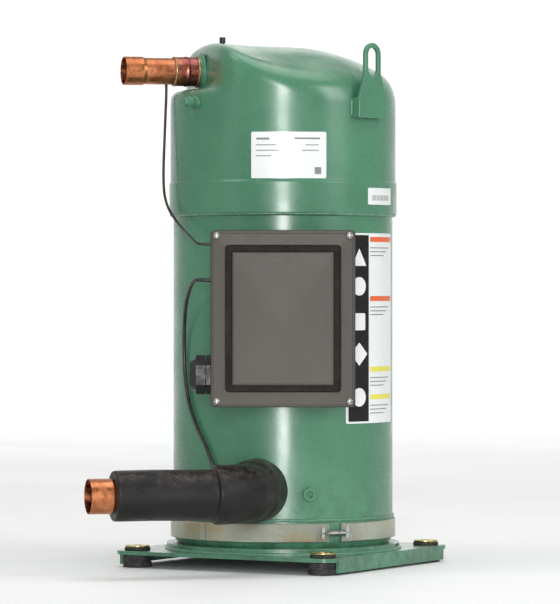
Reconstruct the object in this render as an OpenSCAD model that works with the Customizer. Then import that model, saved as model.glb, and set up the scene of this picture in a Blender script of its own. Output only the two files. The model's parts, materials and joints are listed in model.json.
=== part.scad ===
// Hermetic scroll compressor with a side discharge cap, standing on four rubber mounts.
// +Z is up, the origin is on the shell axis in the plane of the mounts' undersides,
// and the terminal box faces -Y. Azimuths are measured from -Y towards +X.

/* [Shell] */
// Outside diameter of the main shell
shell_d = 290; // [288:1:292]
// Plate thickness of shell and caps
plate_wall = 5; // [4.5:0.5:5.5]
// Outside diameter of the top cap
cap_d = 298; // [297:0.5:299]
// Height of the discharge chamber's top above the floor
overall_h = 688; // [686:1:690]

/* [Feet] */
// Hole spacing of the square mounting pattern
foot_span = 279.4; // [276:0.2:282]
// Side of the square base plate
base_side = 330; // [326:1:334]
// Turn of the base plate's front corner away from the terminal box
foot_turn = 15; // [10:1:20]
// Diameter of the mounting holes
foot_hole_d = 11; // [10:0.5:12]

/* [Terminal box] */
// Width of the cover
cover_w = 184; // [182:1:186]
// Height of the cover
cover_h = 225; // [223:1:227]
// Height of the box centre above the floor
box_z = 327; // [324:1:330]

/* [Refrigerant lines] */
// Outside diameter of the discharge tube
discharge_d = 35; // [34:0.5:36]
// Outside diameter of the suction tube
suction_d = 42; // [41:0.5:42.5]
// Azimuth that both lines leave along
line_az = -74; // [-78:1:-70]
// Azimuth of the suction port
suction_az = -13; // [-15:1:-11]

/* [Scroll set] */
// Pitch of the scroll wraps
wrap_pitch = 20; // [19.8:0.1:20]
// Thickness of the scroll wraps
wrap_t = 4.6; // [4.5:0.1:4.8]
// Height of the scroll wraps
wrap_h = 47.9; // [46:0.1:47.9]
// Running gap between the flanks of the wraps
flank_gap = 0.3; // [0.25:0.05:0.4]

/* [Hidden] */
$fn = 96;

SHELL_GREEN = "#4f8f70";
COPPER = "#b5693f";
STEEL = "#9a9c9e";
CAST_IRON = "#5d6063";
BLACK = "#232324";
BOX_GREY = "#4b4a48";
YELLOW_ZINC = "#c9a85a";
LABEL_WHITE = "#f2f2ee";

fit = 0.05;
through = 400;

// Shell radii and levels
shell_r = shell_d / 2;
shell_ir = shell_r - plate_wall;
cap_r = cap_d / 2;
cap_ir = cap_r - plate_wall;
bottom_z = 24;
bottom_seam_z = 66;
shell_top_z = 498;
lip_z = 463;
lip_top_z = 504;
lip_r = cap_r + 1.5;
crown_r = 250;
crown_centre_z = overall_h - 4 - crown_r;
knuckle_r = 14;
bottom_knuckle_r = 20;

// Raised discharge chamber on the cap: a vertical face towards the discharge line and
// a hipped roof that falls away from it and to both sides
chamber_face = 112;
chamber_top_z = overall_h;
hip_z = 666;
hip_rise = 0.33;
hip_fall = 0.25;
discharge_z = 650;
ledge_z = 626;

// Lifting lugs: azimuths and slot
lug_az = [47, -160];
lug_slot_r = 9;
lug_slot_z0 = 650;
lug_slot_z1 = 668;

// Base plate
base_t = 5;
base_z = 17;
base_top_z = base_z + base_t;
flange_foot_z = 3;
mount_r = foot_span / sqrt(2);
grommet_r = 19;
grommet_cap_t = 4;

// Suction line
suction_z = 105;
suction_r = suction_d / 2;
bend_r = 1.5 * suction_d;
bend_start = 197;
bend_angle = suction_az - line_az;
bend_extra = 0.1;
run_len = 162;
lagging_len = 130;
lagging_r = 32.5;
boot_r = 41;
tube_wall = 1.2;
bell_shoulder = 2.5;
bell_len = 30;

// Terminal box
box_w = cover_w - 6;
box_h = cover_h - 6;
box_front = 205;
box_wall = 3.5;
gasket_t = 2;
cover_t = 4;
screw_x = cover_w / 2 - 7.5;
screw_z = cover_h / 2 - 7;
gland_z = box_z - 72;
gland_y = -177;
gland_bore_r = 14;
lead_y = -165;
heater_lead_z = 376;
sensor_lead_z = 422;
heater_lead_r = 2.5;
sensor_lead_r = 1.8;
terminal_z = 372;
terminal_r = 32;

// Labels
label_t = 0.4;

// Crankcase heater belt
heater_z = 38;
heater_h = 24;
heater_gap_az = 27;
heater_gap = 12;

// Motor
core_z = 195;
core_h = 140;
core_r = shell_ir - 0.1;
bore_r = 60.5;
rotor_r = 59.9;
shaft_r = 20;
slot_count = 24;

// Pump levels
lower_journal_r = 14;
lower_bearing_z = 98;
lower_bearing_h = 28;
main_journal_r = 21;
main_bearing_z = 400;
main_bearing_h = 46;
pin_z = 449;
pin_top_z = 474;
pin_r = 15;
bush_r = 22.95;
hub_bearing_r = 23;
hub_bore_r = 26;
hub_r = 31;
hub_z = 452;
thrust_z = 477;
orbit_plate_z = thrust_z + 0.2;
orbit_plate_top = 489;
orbit_plate_r = 96;
frame_top_z = 489.3;
fixed_plate_z = 537.3;
fixed_top_z = 565;
boss_z = 575;
boss_r = 34;
port_r = 9;
valve_r = 14;
valve_t = 2.5;
valve_lift = 5;
bolt_circle_r = 128;
gas_port_circle_r = 122;

// Scroll geometry: involutes of a base circle
base_circle_r = wrap_pitch / (2 * PI);
orbit_r = wrap_pitch / 2 - wrap_t - flank_gap;
wrap_start = 200;
wrap_end = 1350;
wrap_step = 10;

// Oldham ring
key = 10;
key_circle_r = 84;
oldham_z = 465.4;
oldham_t = 10;
oldham_in_r = 75.8;
oldham_out_r = 92;

// Routes of the two leads, in millimetres
heater_route = [
    [-86, -122, 62], [-86, -122, 90], [-88.5, -120, 125], [-97.5, -113, 155],
    [-111.5, -99, 185], [-122, -85, 215], [-127.5, -76.5, 250], [-129, -74, 285],
    [-128.5, -82, 318], [-126, -104, 345], [-121, -130, 363], [-116, -149, 373], [-110, -161, 376],
    [-101, -165, 376], [-93, -165, 376], [-80, -165, 376]
];
sensor_route = [
    [-155, -22, 645.8], [-154, -22, 636], [-154, -23, 618], [-155, -26, 590],
    [-156, -30, 560], [-157, -34, 530], [-157, -38, 505], [-155, -44, 485],
    [-149, -58, 468], [-139, -80, 453], [-129, -105, 441], [-120, -130, 432],
    [-113, -150, 425], [-108, -161, 422.5], [-101, -165, 422], [-93, -165, 422], [-80, -165, 422]
];

// ---- Shared shapes ----

// Turns local +X outward along an azimuth, at a height
module at_azimuth(az, z = 0) {
    translate([0, 0, z]) rotate([0, 0, az - 90]) children();
}

// A cylinder along local +X from x0 to x1
module rod_x(x0, x1, r) {
    translate([x0, 0, 0]) rotate([0, 90, 0]) cylinder(h = x1 - x0, r = r);
}

// A hexagonal prism along local +X from x0 to x1, r across corners
module hex_x(x0, x1, r) {
    translate([x0, 0, 0]) rotate([0, 90, 0]) cylinder(h = x1 - x0, r = r, $fn = 6);
}

// A tube standing on z with outer and inner radii
module ring(z, h, r_out, r_in) {
    translate([0, 0, z]) difference() {
        cylinder(h = h, r = r_out);
        translate([0, 0, -1]) cylinder(h = h + 2, r = r_in);
    }
}

// A rectangle with round corners, centred
module round_rect(w, h, r) {
    square([w - 2 * r, h], center = true);
    square([w, h - 2 * r], center = true);
    for (x = [-1, 1])
        for (y = [-1, 1])
            translate([x * (w / 2 - r), y * (h / 2 - r)]) circle(r);
}

// Stands a flat outline up in the XZ plane, from y_front back by depth
module upright(y_front, depth, z) {
    translate([0, y_front + depth, z]) rotate([90, 0, 0]) linear_extrude(depth) children();
}

// A curved patch on a cylinder of radius r between two azimuths
module patch(r, t, z0, z1, az0, az1) {
    rotate([0, 0, az0 - 90])
        rotate_extrude(angle = az1 - az0)
            translate([r, z0]) square([t, z1 - z0]);
}

// Places children at each mounting hole
module at_feet() {
    for (i = [0:3])
        at_azimuth(foot_turn + 90 * i) translate([mount_r, 0, 0]) children();
}

// A point on the involute of the base circle, phi and lead in degrees
function involute(phi, lead) =
    base_circle_r * [
        cos(phi) + (phi - lead) * PI / 180 * sin(phi),
        sin(phi) - (phi - lead) * PI / 180 * cos(phi)
    ];

// The outline of one scroll wrap
module wrap_outline() {
    lead = wrap_t / (2 * base_circle_r) * 180 / PI;
    outer = [for (phi = [wrap_start:wrap_step:wrap_end]) involute(phi, -lead)];
    inner = [for (phi = [wrap_end:-wrap_step:wrap_start]) involute(phi, lead)];
    polygon(concat(outer, inner));
}

// Catmull-Rom point between p1 and p2 at share t
function blend_point(p0, p1, p2, p3, t) =
    0.5 * (2 * p1 + (p2 - p0) * t + (2 * p0 - 5 * p1 + 4 * p2 - p3) * t * t
        + (3 * p1 - p0 - 3 * p2 + p3) * t * t * t);

// A route with n smooth steps between its points
function smooth_route(pts, n) = concat(
    [for (i = [0:len(pts) - 2], k = [0:n - 1])
        blend_point(pts[max(i - 1, 0)], pts[i], pts[i + 1], pts[min(i + 2, len(pts) - 1)], k / n)],
    [pts[len(pts) - 1]]
);

function unit(v) = v / norm(v);

// The direction of a route at point i
function heading(pts, i) = unit(pts[min(i + 1, len(pts) - 1)] - pts[max(i - 1, 0)]);

// One ring of a swept tube, square to its heading
function tube_ring(centre, dir, r, sides) =
    let (side = unit(cross(dir, [0.6, 0.7, 0.4])), up = cross(side, dir))
    [for (k = [0:sides - 1]) centre + r * (cos(360 * k / sides) * side + sin(360 * k / sides) * up)];

// A round lead swept along a route
module lead(route, r, sides = 8) {
    pts = smooth_route(route, 2);
    last = len(pts) - 1;
    points = [for (i = [0:last]) each tube_ring(pts[i], heading(pts, i), r, sides)];
    start_cap = [[for (k = [0:sides - 1]) k]];
    end_cap = [[for (k = [sides - 1:-1:0]) last * sides + k]];
    walls = [for (i = [0:last - 1], k = [0:sides - 1])
        [i * sides + k, (i + 1) * sides + k,
            (i + 1) * sides + (k + 1) % sides, i * sides + (k + 1) % sides]];
    polyhedron(points = points, faces = concat(start_cap, end_cap, walls), convexity = 4);
}

// ---- Pressure shell ----

// Half section of the dome, moved inwards by a plate thickness
module dome_section(inset) {
    r = cap_r - inset;
    knuckle = knuckle_r - inset;
    sphere_r = crown_r - inset;
    kx = r - knuckle;
    kz = crown_centre_z + sqrt(pow(sphere_r - knuckle, 2) - kx * kx);
    turn = atan2(kz - crown_centre_z, kx);
    polygon(concat(
        [[0, lip_z], [r, lip_z]],
        [for (i = [0:5]) [kx + knuckle * cos(turn * i / 5), kz + knuckle * sin(turn * i / 5)]],
        [for (i = [1:12]) let (a = turn + (90 - turn) * i / 12)
            [sphere_r * cos(a), crown_centre_z + sphere_r * sin(a)]]
    ));
}

// Everything under one half of the hipped roof, in the frame of the discharge line.
// side is 1 or -1.
module under_hip(side, inset) {
    lean = atan(norm([hip_rise, hip_fall]));
    turn = atan2(-side * hip_fall, hip_rise);
    translate([0, 0, hip_z - inset / cos(lean)])
        rotate([0, 0, turn]) rotate([0, -lean, 0])
            translate([-through, -through, -through]) cube([2 * through, 2 * through, through]);
}

// The raised discharge chamber, moved inwards by a plate thickness
module chamber(inset) {
    intersection() {
        cylinder(h = chamber_top_z - inset, r = cap_r - inset);
        at_azimuth(line_az) intersection() {
            // everything on the axis side of the discharge face
            translate([-through, -through, lip_z]) cube([through + chamber_face - inset, 2 * through, through]);
            under_hip(1, inset);
            under_hip(-1, inset);
        }
    }
}

// The notch beside the discharge chamber, above the ledge that the line leaves over
module cap_notch(face, ledge) {
    at_azimuth(line_az) translate([face, -through, ledge]) cube([through, 2 * through, through]);
}

// Dome, chamber and notch together, moved inwards by a plate thickness
module cap_body(inset) {
    difference() {
        union() {
            rotate_extrude() dome_section(inset);
            intersection() {
                chamber(inset);
                translate([0, 0, lip_top_z]) cylinder(h = through, r = cap_r - inset);
            }
        }
        cap_notch(chamber_face - inset, ledge_z - inset);
    }
}

// Places children on top of the discharge chamber, where the test plug sits
module at_test_plug() {
    at_azimuth(line_az, chamber_top_z) translate([83, 0, 0]) children();
}

module top_cap() {
    color(SHELL_GREEN) difference() {
        union() {
            cap_body(0);
            translate([0, 0, lip_z]) cylinder(h = lip_top_z - lip_z, r = lip_r);
        }
        cap_body(plate_wall);
        translate([0, 0, lip_z - 1]) cylinder(h = shell_top_z - lip_z + 2, r = shell_r + 0.1);
        at_azimuth(line_az, discharge_z) rod_x(50, 150, discharge_d / 2 + 3 + fit);
        at_azimuth(-49, 607) rod_x(120, 170, 5 + fit);
        at_test_plug() translate([0, 0, -20]) cylinder(h = 40, r = 3 + fit);
    }
}

module main_shell() {
    color(SHELL_GREEN) difference() {
        ring(bottom_seam_z, shell_top_z - bottom_seam_z, shell_r, shell_ir);
        at_azimuth(suction_az, suction_z) rod_x(100, 170, suction_r + 6 + fit);
        at_azimuth(0, terminal_z) rod_x(100, 170, terminal_r + fit);
        at_azimuth(13, 100) rod_x(100, 170, 5 + fit);
        at_azimuth(150, 92) rod_x(100, 170, 13 + fit);
        at_azimuth(-100, 92) rod_x(100, 170, 9 + fit);
    }
}

// Half section of the bottom dish, moved inwards by a plate thickness
module dish_section(inset) {
    r = shell_r - inset;
    knuckle = bottom_knuckle_r - inset;
    polygon(concat(
        [[0, bottom_z + inset]],
        [for (i = [0:6]) let (a = -90 + 15 * i)
            [r - knuckle + knuckle * cos(a), bottom_z + inset + knuckle * (1 + sin(a))]],
        [[r, bottom_seam_z], [0, bottom_seam_z]]
    ));
}

module bottom_cap() {
    color(SHELL_GREEN) difference() {
        rotate_extrude() dish_section(0);
        rotate_extrude() dish_section(plate_wall);
        translate([0, 0, bottom_seam_z - 0.5]) cylinder(h = 2, r = shell_ir);
    }
}

module base_plate() {
    flange_t = 5;
    rim_r = 22;
    seat_r = shell_r + 9;
    color(SHELL_GREEN) difference() {
        union() {
            rotate([0, 0, foot_turn - 45]) {
                translate([0, 0, base_z]) linear_extrude(base_t) round_rect(base_side, base_side, rim_r);
                for (x = [-1, 1])
                    translate([x * (base_side - flange_t) / 2, 0, (flange_foot_z + base_top_z - 1) / 2])
                        cube([flange_t, base_side - 2 * rim_r, base_top_z - 1 - flange_foot_z], center = true);
            }
            // round seat that carries the bottom dish
            ring(base_top_z - 1, 9, seat_r, shell_r - bottom_knuckle_r + 4);
        }
        translate([0, 0, base_z - 1]) cylinder(h = base_t + 2, r = 70);
        translate([0, 0, -0.02]) rotate_extrude() dish_section(0);
        at_feet() translate([0, 0, base_z - 1]) cylinder(h = base_t + 10, r = 12.5);
    }
}

// Bent lifting bracket: a face plate with a slot, held off the cap by two side flanges
module lifting_lug(az) {
    face_x = cap_r + 6;
    face_t = 5;
    half_w = 27;
    flange_t = 5;
    loop_r = lug_slot_r + 6.5;
    foot_z = 586;
    shoulder_z = 612;
    neck_z = 642;
    top_z = lug_slot_z1 + loop_r;
    color(SHELL_GREEN) difference() {
        at_azimuth(az) {
            translate([face_x, 0, 0]) rotate([90, 0, 90]) linear_extrude(face_t) difference() {
                union() {
                    polygon([[-half_w, foot_z], [half_w, foot_z], [half_w, shoulder_z], [loop_r, neck_z],
                        [loop_r, lug_slot_z1], [-loop_r, lug_slot_z1], [-loop_r, neck_z], [-half_w, shoulder_z]]);
                    translate([0, lug_slot_z1]) circle(loop_r);
                }
                translate([0, lug_slot_z1]) circle(lug_slot_r);
                translate([-lug_slot_r, lug_slot_z0]) square([2 * lug_slot_r, lug_slot_z1 - lug_slot_z0]);
                translate([0, lug_slot_z0]) circle(lug_slot_r);
            }
            for (y = [-half_w, half_w - flange_t])
                translate([cap_r - 12, y, foot_z]) cube([face_x - cap_r + 12, flange_t, shoulder_z - foot_z]);
        }
        translate([0, 0, foot_z - 1]) cylinder(h = 60, r = cap_r + fit);
    }
}

// ---- Refrigerant lines ----

module discharge_fitting() {
    color(SHELL_GREEN) at_azimuth(line_az, discharge_z) difference() {
        union() {
            rod_x(chamber_face - plate_wall, chamber_face + 6, discharge_d / 2 + 3);
            rod_x(chamber_face + fit, chamber_face + 3, discharge_d / 2 + 5);
        }
        rod_x(chamber_face - 20, chamber_face + 20, discharge_d / 2 + fit);
    }
}

module discharge_coupling() {
    color(COPPER) at_azimuth(line_az, discharge_z) difference() {
        union() {
            rod_x(chamber_face + 7, chamber_face + 37, discharge_d / 2 + 1.8);
            rod_x(chamber_face + 20, chamber_face + 23, discharge_d / 2 + 2.6);
        }
        rod_x(chamber_face, chamber_face + 60, discharge_d / 2 + fit);
    }
}

// Belled end that takes the next length of tube, tube_r the radius of that tube
module bell_end(x0, x1, tube_r) {
    difference() {
        rod_x(x0, x1, tube_r + tube_wall + 0.1);
        rod_x(x0 - 1, x0 + bell_shoulder + 1, tube_r - tube_wall - 0.1);
        rod_x(x0 + bell_shoulder, x1 + 1, tube_r + fit);
    }
}

module discharge_tube() {
    r = discharge_d / 2;
    end = chamber_face + 105;
    bell_start = end - 25;
    color(COPPER) at_azimuth(line_az, discharge_z) {
        difference() {
            rod_x(chamber_face - 4, bell_start, r);
            rod_x(chamber_face - 10, bell_start + 1, r - tube_wall);
        }
        bell_end(bell_start, end, r);
    }
}

// Local +X runs along the suction line past its bend, from the bend's end
module after_bend() {
    at_azimuth(suction_az, suction_z) translate([bend_start, -bend_r, 0])
        rotate([0, 0, -bend_angle]) translate([0, bend_r, 0]) children();
}

// The suction route: straight out of the port, one bend, then straight along the line.
// Each stretch is a tube of its own outside radius on a shared bore, and the bend's
// wall is a little fuller than the straights', as a pressed elbow's is.
module suction_run(r_straight, r_bend, r_run, bore, from, len) {
    at_azimuth(suction_az, suction_z) {
        difference() {
            rod_x(from, bend_start, r_straight);
            rod_x(from - 1, bend_start + 1, bore);
        }
        translate([bend_start, -bend_r, 0])
            rotate([0, 0, 90 - bend_angle])
                rotate_extrude(angle = bend_angle) translate([bend_r, 0]) difference() {
                    circle(r_bend + bend_extra);
                    circle(bore - bend_extra);
                }
    }
    after_bend() difference() {
        rod_x(0, len, r_run);
        rod_x(-1, len + 1, bore);
    }
}

module suction_fitting() {
    color(SHELL_GREEN) at_azimuth(suction_az, suction_z) difference() {
        rod_x(shell_ir - 2, shell_r + 27, suction_r + 6);
        rod_x(shell_ir - 20, shell_r + 40, suction_r + fit);
    }
}

module suction_tube() {
    color(COPPER) {
        suction_run(suction_r, suction_r, suction_r, suction_r - tube_wall, shell_r + 2, run_len - bell_len);
        after_bend() bell_end(run_len - bell_len, run_len, suction_r);
    }
}

module suction_insulation() {
    color(BLACK) difference() {
        suction_run(boot_r, boot_r - 3, lagging_r, suction_r + 0.3, shell_r - 20, lagging_len);
        at_azimuth(suction_az, suction_z) rod_x(shell_r - 30, shell_r + 28, suction_r + 6.2);
        cylinder(h = 300, r = shell_r + 0.2);
    }
}

// ---- Terminal box ----

module terminal_box() {
    back = 150;
    boss_len = 22;
    color(BOX_GREY) difference() {
        union() {
            difference() {
                upright(-box_front, box_front - 60, box_z) round_rect(box_w, box_h, 6);
                upright(-box_front - 1, box_front - back + 1, box_z)
                    round_rect(box_w - 2 * box_wall, box_h - 2 * box_wall, 3);
                upright(-back + box_wall, back - box_wall - 50, box_z)
                    round_rect(box_w - 2 * box_wall, box_h - 2 * box_wall, 3);
            }
            for (x = [-1, 1])
                for (z = [-1, 1])
                    upright(-box_front, boss_len, box_z) intersection() {
                        translate([x * screw_x, z * screw_z]) circle(6);
                        round_rect(box_w, box_h, 6);
                    }
        }
        cylinder(h = through * 2, r = shell_r + 0.6);
        upright(-back - 2, 40, terminal_z) circle(terminal_r + 2);
        for (x = [-1, 1])
            for (z = [-1, 1])
                upright(-box_front - 1, 18, box_z) translate([x * screw_x, z * screw_z]) circle(2 + fit);
        translate([-box_w / 2 - 2, gland_y, gland_z]) rotate([0, 90, 0]) cylinder(h = 8, r = 20 + fit);
        for (z = [heater_lead_z, sensor_lead_z])
            translate([-box_w / 2 - 2, lead_y, z]) rotate([0, 90, 0]) cylinder(h = 8, r = 5.5 + fit);
    }
}

module box_gasket() {
    color(BLACK) upright(-box_front - gasket_t, gasket_t, box_z) difference() {
        round_rect(box_w, box_h, 6);
        round_rect(box_w - 11, box_h - 11, 4);
        for (x = [-1, 1])
            for (z = [-1, 1])
                translate([x * screw_x, z * screw_z]) circle(2.2);
    }
}

module box_cover() {
    back = box_front + gasket_t;
    groove_w = 146;
    groove_h = 186;
    panel_w = 130;
    panel_h = 170;
    color(BOX_GREY) difference() {
        union() {
            upright(-back - cover_t, cover_t, box_z) round_rect(cover_w, cover_h, 5);
            upright(-back - cover_t - 3, cover_t + 3, box_z) round_rect(panel_w, panel_h, 2);
        }
        upright(-back - cover_t - 1, 3.2, box_z) difference() {
            round_rect(groove_w, groove_h, 4);
            round_rect(panel_w, panel_h, 2);
        }
        for (x = [-1, 1])
            for (z = [-1, 1])
                upright(-back - cover_t - 1, cover_t + 2, box_z)
                    translate([x * screw_x, z * screw_z]) circle(2.2);
    }
}

module cover_screws() {
    face = box_front + gasket_t + cover_t;
    color(STEEL)
        for (x = [-1, 1])
            for (z = [-1, 1])
                translate([x * screw_x, 0, z * screw_z]) difference() {
                    union() {
                        upright(-face - 3, 3, box_z) circle(4.6);
                        upright(-face, 20, box_z) circle(2);
                    }
                    upright(-face - 4, 2.4, box_z) square([5.6, 1.1], center = true);
                    upright(-face - 4, 2.4, box_z) square([1.1, 5.6], center = true);
                }
}

// Everything of the cable gland is laid out along its own axis, outward through the box side
module on_gland_axis() {
    translate([0, gland_y, gland_z]) rotate([0, 0, 180]) children();
}

module cable_gland() {
    side = box_w / 2;
    color(BLACK) on_gland_axis() difference() {
        union() {
            rod_x(side - 14, side + 20, 20);
            hex_x(side, side + 9, 25);
        }
        rod_x(side - 20, side + 30, gland_bore_r);
    }
}

module gland_nut() {
    side = box_w / 2;
    color(BLACK) on_gland_axis() difference() {
        union() {
            hex_x(side + 10, side + 22, 25);
            translate([side + 22, 0, 0]) rotate([0, 90, 0]) cylinder(h = 8, r1 = 21.6, r2 = 17.5);
        }
        rod_x(side + 8, side + 21, 20 + fit);
        rod_x(side, side + 40, gland_bore_r);
    }
}

module gland_locknut() {
    side = box_w / 2 - box_wall;
    color(BLACK) on_gland_axis() difference() {
        hex_x(side - 7, side - 0.05, 25);
        rod_x(side - 10, side + 5, 20 + fit);
    }
}

module lead_grommet(z, bore) {
    side = box_w / 2;
    color(BLACK) translate([0, lead_y, z]) rotate([0, 0, 180]) difference() {
        union() {
            rod_x(side + fit, side + 3, 8);
            rod_x(side - 6, side + 1, 5.5);
            rod_x(side - box_wall - 2.5, side - box_wall - fit, 7.5);
        }
        rod_x(side - 10, side + 10, bore + fit);
    }
}

module lead_grommets() {
    lead_grommet(heater_lead_z, heater_lead_r);
    lead_grommet(sensor_lead_z, sensor_lead_r);
}

// Hermetic feed-through with a weld rim
module terminal_plate() {
    color(STEEL) difference() {
        union() {
            upright(-shell_r - 3, 12, terminal_z) circle(terminal_r);
        }
        for (i = [0:2])
            upright(-through, through, terminal_z) rotate(90 + 120 * i) translate([15, 0]) circle(4 + fit);
    }
}

module terminal_studs() {
    color("#c8a24a")
        for (i = [0:2])
            translate([15 * cos(90 + 120 * i), 0, 15 * sin(90 + 120 * i)]) {
                upright(-178, 48, terminal_z) circle(4);
                upright(-166, 6, terminal_z) circle(8, $fn = 6);
                upright(-158, 3, terminal_z) circle(9);
            }
}

module motor_protector() {
    color("#3a3a3c") translate([34, -168, 268]) cube([68, 34, 54], center = true);
}

// ---- Labels ----

module nameplate() {
    color(LABEL_WHITE) patch(cap_r + fit, label_t, 507, 567, -16, 22);
}

module serial_label() {
    color(LABEL_WHITE) patch(lip_r + fit, label_t, 474, 496, 47, 69);
}

module safety_label() {
    color(LABEL_WHITE) patch(shell_r + fit, label_t, 190, 437, 34, 77);
}

// ---- Crankcase heater and sensor ----

module crankcase_heater() {
    gap_deg = heater_gap / shell_r * 180 / PI;
    color("#b9b7ae")
        patch(shell_r + 0.3, 3.4, heater_z, heater_z + heater_h,
            heater_gap_az + gap_deg / 2 + 1, heater_gap_az + 361 - gap_deg / 2 - 2);
}

// Tension spring across the belt's gap, with its two hooks
module heater_spring() {
    color(STEEL) at_azimuth(heater_gap_az, heater_z + heater_h / 2)
        translate([shell_r + 8.2, 0, 0]) {
            rotate([90, 0, 0]) cylinder(h = 26, r = 4, center = true);
            for (y = [-1, 1])
                translate([-2.15, y * 16.5, 0]) cube([5.7, 7, 14], center = true);
        }
}

module heater_lead() {
    color(BLACK) lead(heater_route, heater_lead_r, 10);
}

module discharge_sensor() {
    color("#3a3a3c") at_azimuth(line_az, discharge_z)
        translate([0, -discharge_d / 2 - 4.2, 0]) rod_x(chamber_face + 38, chamber_face + 76, 4);
}

module sensor_lead() {
    color(BLACK) lead(sensor_route, sensor_lead_r);
}

// ---- Small ports ----

module service_port() {
    color(SHELL_GREEN) at_azimuth(-49, 607) difference() {
        union() {
            rod_x(cap_ir - 2, cap_r + 12, 5);
            hex_x(cap_r + 2, cap_r + 7, 8.5);
        }
        rod_x(cap_ir - 5, cap_r + 9, 2);
    }
}

module service_port_cap() {
    color(SHELL_GREEN) at_azimuth(-49, 607) difference() {
        union() {
            rod_x(cap_r + 8, cap_r + 17, 7);
            hex_x(cap_r + 17, cap_r + 21, 5.5);
        }
        rod_x(cap_r, cap_r + 14, 5 + fit);
    }
}

module top_test_plug() {
    color(BLACK) at_test_plug() {
        translate([0, 0, -6]) cylinder(h = 9, r = 3);
        translate([0, 0, 0.5]) cylinder(h = 7.5, r = 4);
    }
}

module oil_drain_plug() {
    color(SHELL_GREEN) at_azimuth(13, 100) difference() {
        union() {
            rod_x(shell_ir - 1, shell_r + 4, 5);
            hex_x(shell_r + 1.2, shell_r + 9, 9.5);
        }
        hex_x(shell_r + 4, shell_r + 10, 5);
    }
}

module sight_glass_body() {
    color(SHELL_GREEN) at_azimuth(150, 92) difference() {
        union() {
            rod_x(shell_ir - 2, shell_r + 14, 13);
            hex_x(shell_r + 2, shell_r + 14, 19);
        }
        rod_x(shell_ir - 10, shell_r + 20, 7);
        rod_x(shell_r + 6, shell_r + 20, 10 + fit);
    }
}

module sight_glass_lens() {
    color("#cfd8d4") at_azimuth(150, 92) rod_x(shell_r + 6 + fit, shell_r + 12, 10);
}

module equalizer_fitting() {
    color(SHELL_GREEN) at_azimuth(-100, 92) difference() {
        union() {
            rod_x(shell_ir - 2, shell_r + 24, 9);
            rod_x(shell_r + 1, shell_r + 10, 12);
        }
        rod_x(shell_ir - 10, shell_r + 20, 5.5);
    }
}

module equalizer_cap() {
    color("#b99a4a") at_azimuth(-100, 92) difference() {
        union() {
            hex_x(shell_r + 11, shell_r + 27, 14);
            rod_x(shell_r + 27, shell_r + 31, 10.5);
        }
        rod_x(shell_r, shell_r + 25, 9 + fit);
    }
}

// ---- Feet ----

module mounting_grommets() {
    color(BLACK) at_feet() difference() {
        union() {
            cylinder(h = base_z - 0.05, r = grommet_r);
            cylinder(h = base_top_z + 1, r = 12.4);
            translate([0, 0, base_top_z + 0.05]) cylinder(h = grommet_cap_t, r = grommet_r - 2);
        }
        translate([0, 0, -1]) cylinder(h = 60, r = 8);
    }
}

module mounting_sleeves() {
    top = base_top_z + grommet_cap_t + 0.1;
    color(YELLOW_ZINC) at_feet() difference() {
        union() {
            cylinder(h = top + 1, r = 7.95);
            translate([0, 0, top]) cylinder(h = 2.5, r = 16);
        }
        translate([0, 0, -1]) cylinder(h = 60, r = foot_hole_d / 2);
    }
}

// ---- Pump ----

module separator_plate() {
    color(STEEL) difference() {
        union() {
            ring(572, 4, cap_ir - 0.1, boss_r + 0.3);
            ring(558, 18, cap_ir - 0.1, cap_ir - 4);
        }
    }
}

module fixed_scroll() {
    rim_r = shell_ir - 0.5;
    chamber_r = 86;
    color(CAST_IRON) difference() {
        union() {
            ring(frame_top_z, fixed_plate_z - frame_top_z + 2, rim_r, chamber_r);
            translate([0, 0, fixed_plate_z]) cylinder(h = 18, r = rim_r);
            translate([0, 0, fixed_plate_z]) cylinder(h = fixed_top_z - fixed_plate_z, r = 110);
            translate([0, 0, fixed_plate_z]) cylinder(h = boss_z - fixed_plate_z, r = boss_r);
            translate([0, 0, fixed_plate_z - wrap_h])
                linear_extrude(wrap_h + 1) rotate(180) wrap_outline();
        }
        translate([0, 0, fixed_plate_z - 1]) cylinder(h = 60, r = port_r);
        // suction windows through the rim
        for (az = [-90, 90])
            at_azimuth(az) translate([chamber_r - 2, -28, frame_top_z + 8]) cube([70, 56, 30]);
        for (i = [0:5])
            rotate([0, 0, 30 + 60 * i]) translate([bolt_circle_r, 0, 400]) cylinder(h = 250, r = 4.3);
    }
}

module scroll_bolts() {
    head_z = fixed_plate_z + 18;
    color(STEEL)
        for (i = [0:5])
            rotate([0, 0, 30 + 60 * i]) translate([bolt_circle_r, 0, 0]) difference() {
                union() {
                    translate([0, 0, head_z - 85]) cylinder(h = 86, r = 4);
                    translate([0, 0, head_z + fit]) cylinder(h = 8, r = 6.5);
                }
                translate([0, 0, head_z + 4]) cylinder(h = 10, r = 3.6, $fn = 6);
            }
}

module valve_guard() {
    color(STEEL) difference() {
        translate([0, 0, boss_z + 0.05]) cylinder(h = 16, r = 26);
        translate([0, 0, boss_z - 1]) cylinder(h = valve_t + valve_lift + 1.3, r = valve_r + 0.6);
        for (i = [0:2])
            rotate([0, 0, 120 * i]) translate([0, -6, boss_z - 1]) cube([40, 12, 7.5]);
        translate([0, 0, boss_z]) cylinder(h = 30, r = 3);
    }
}

module check_valve_disc() {
    color(STEEL) translate([0, 0, boss_z + 0.1]) cylinder(h = valve_t, r = valve_r);
}

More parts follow.
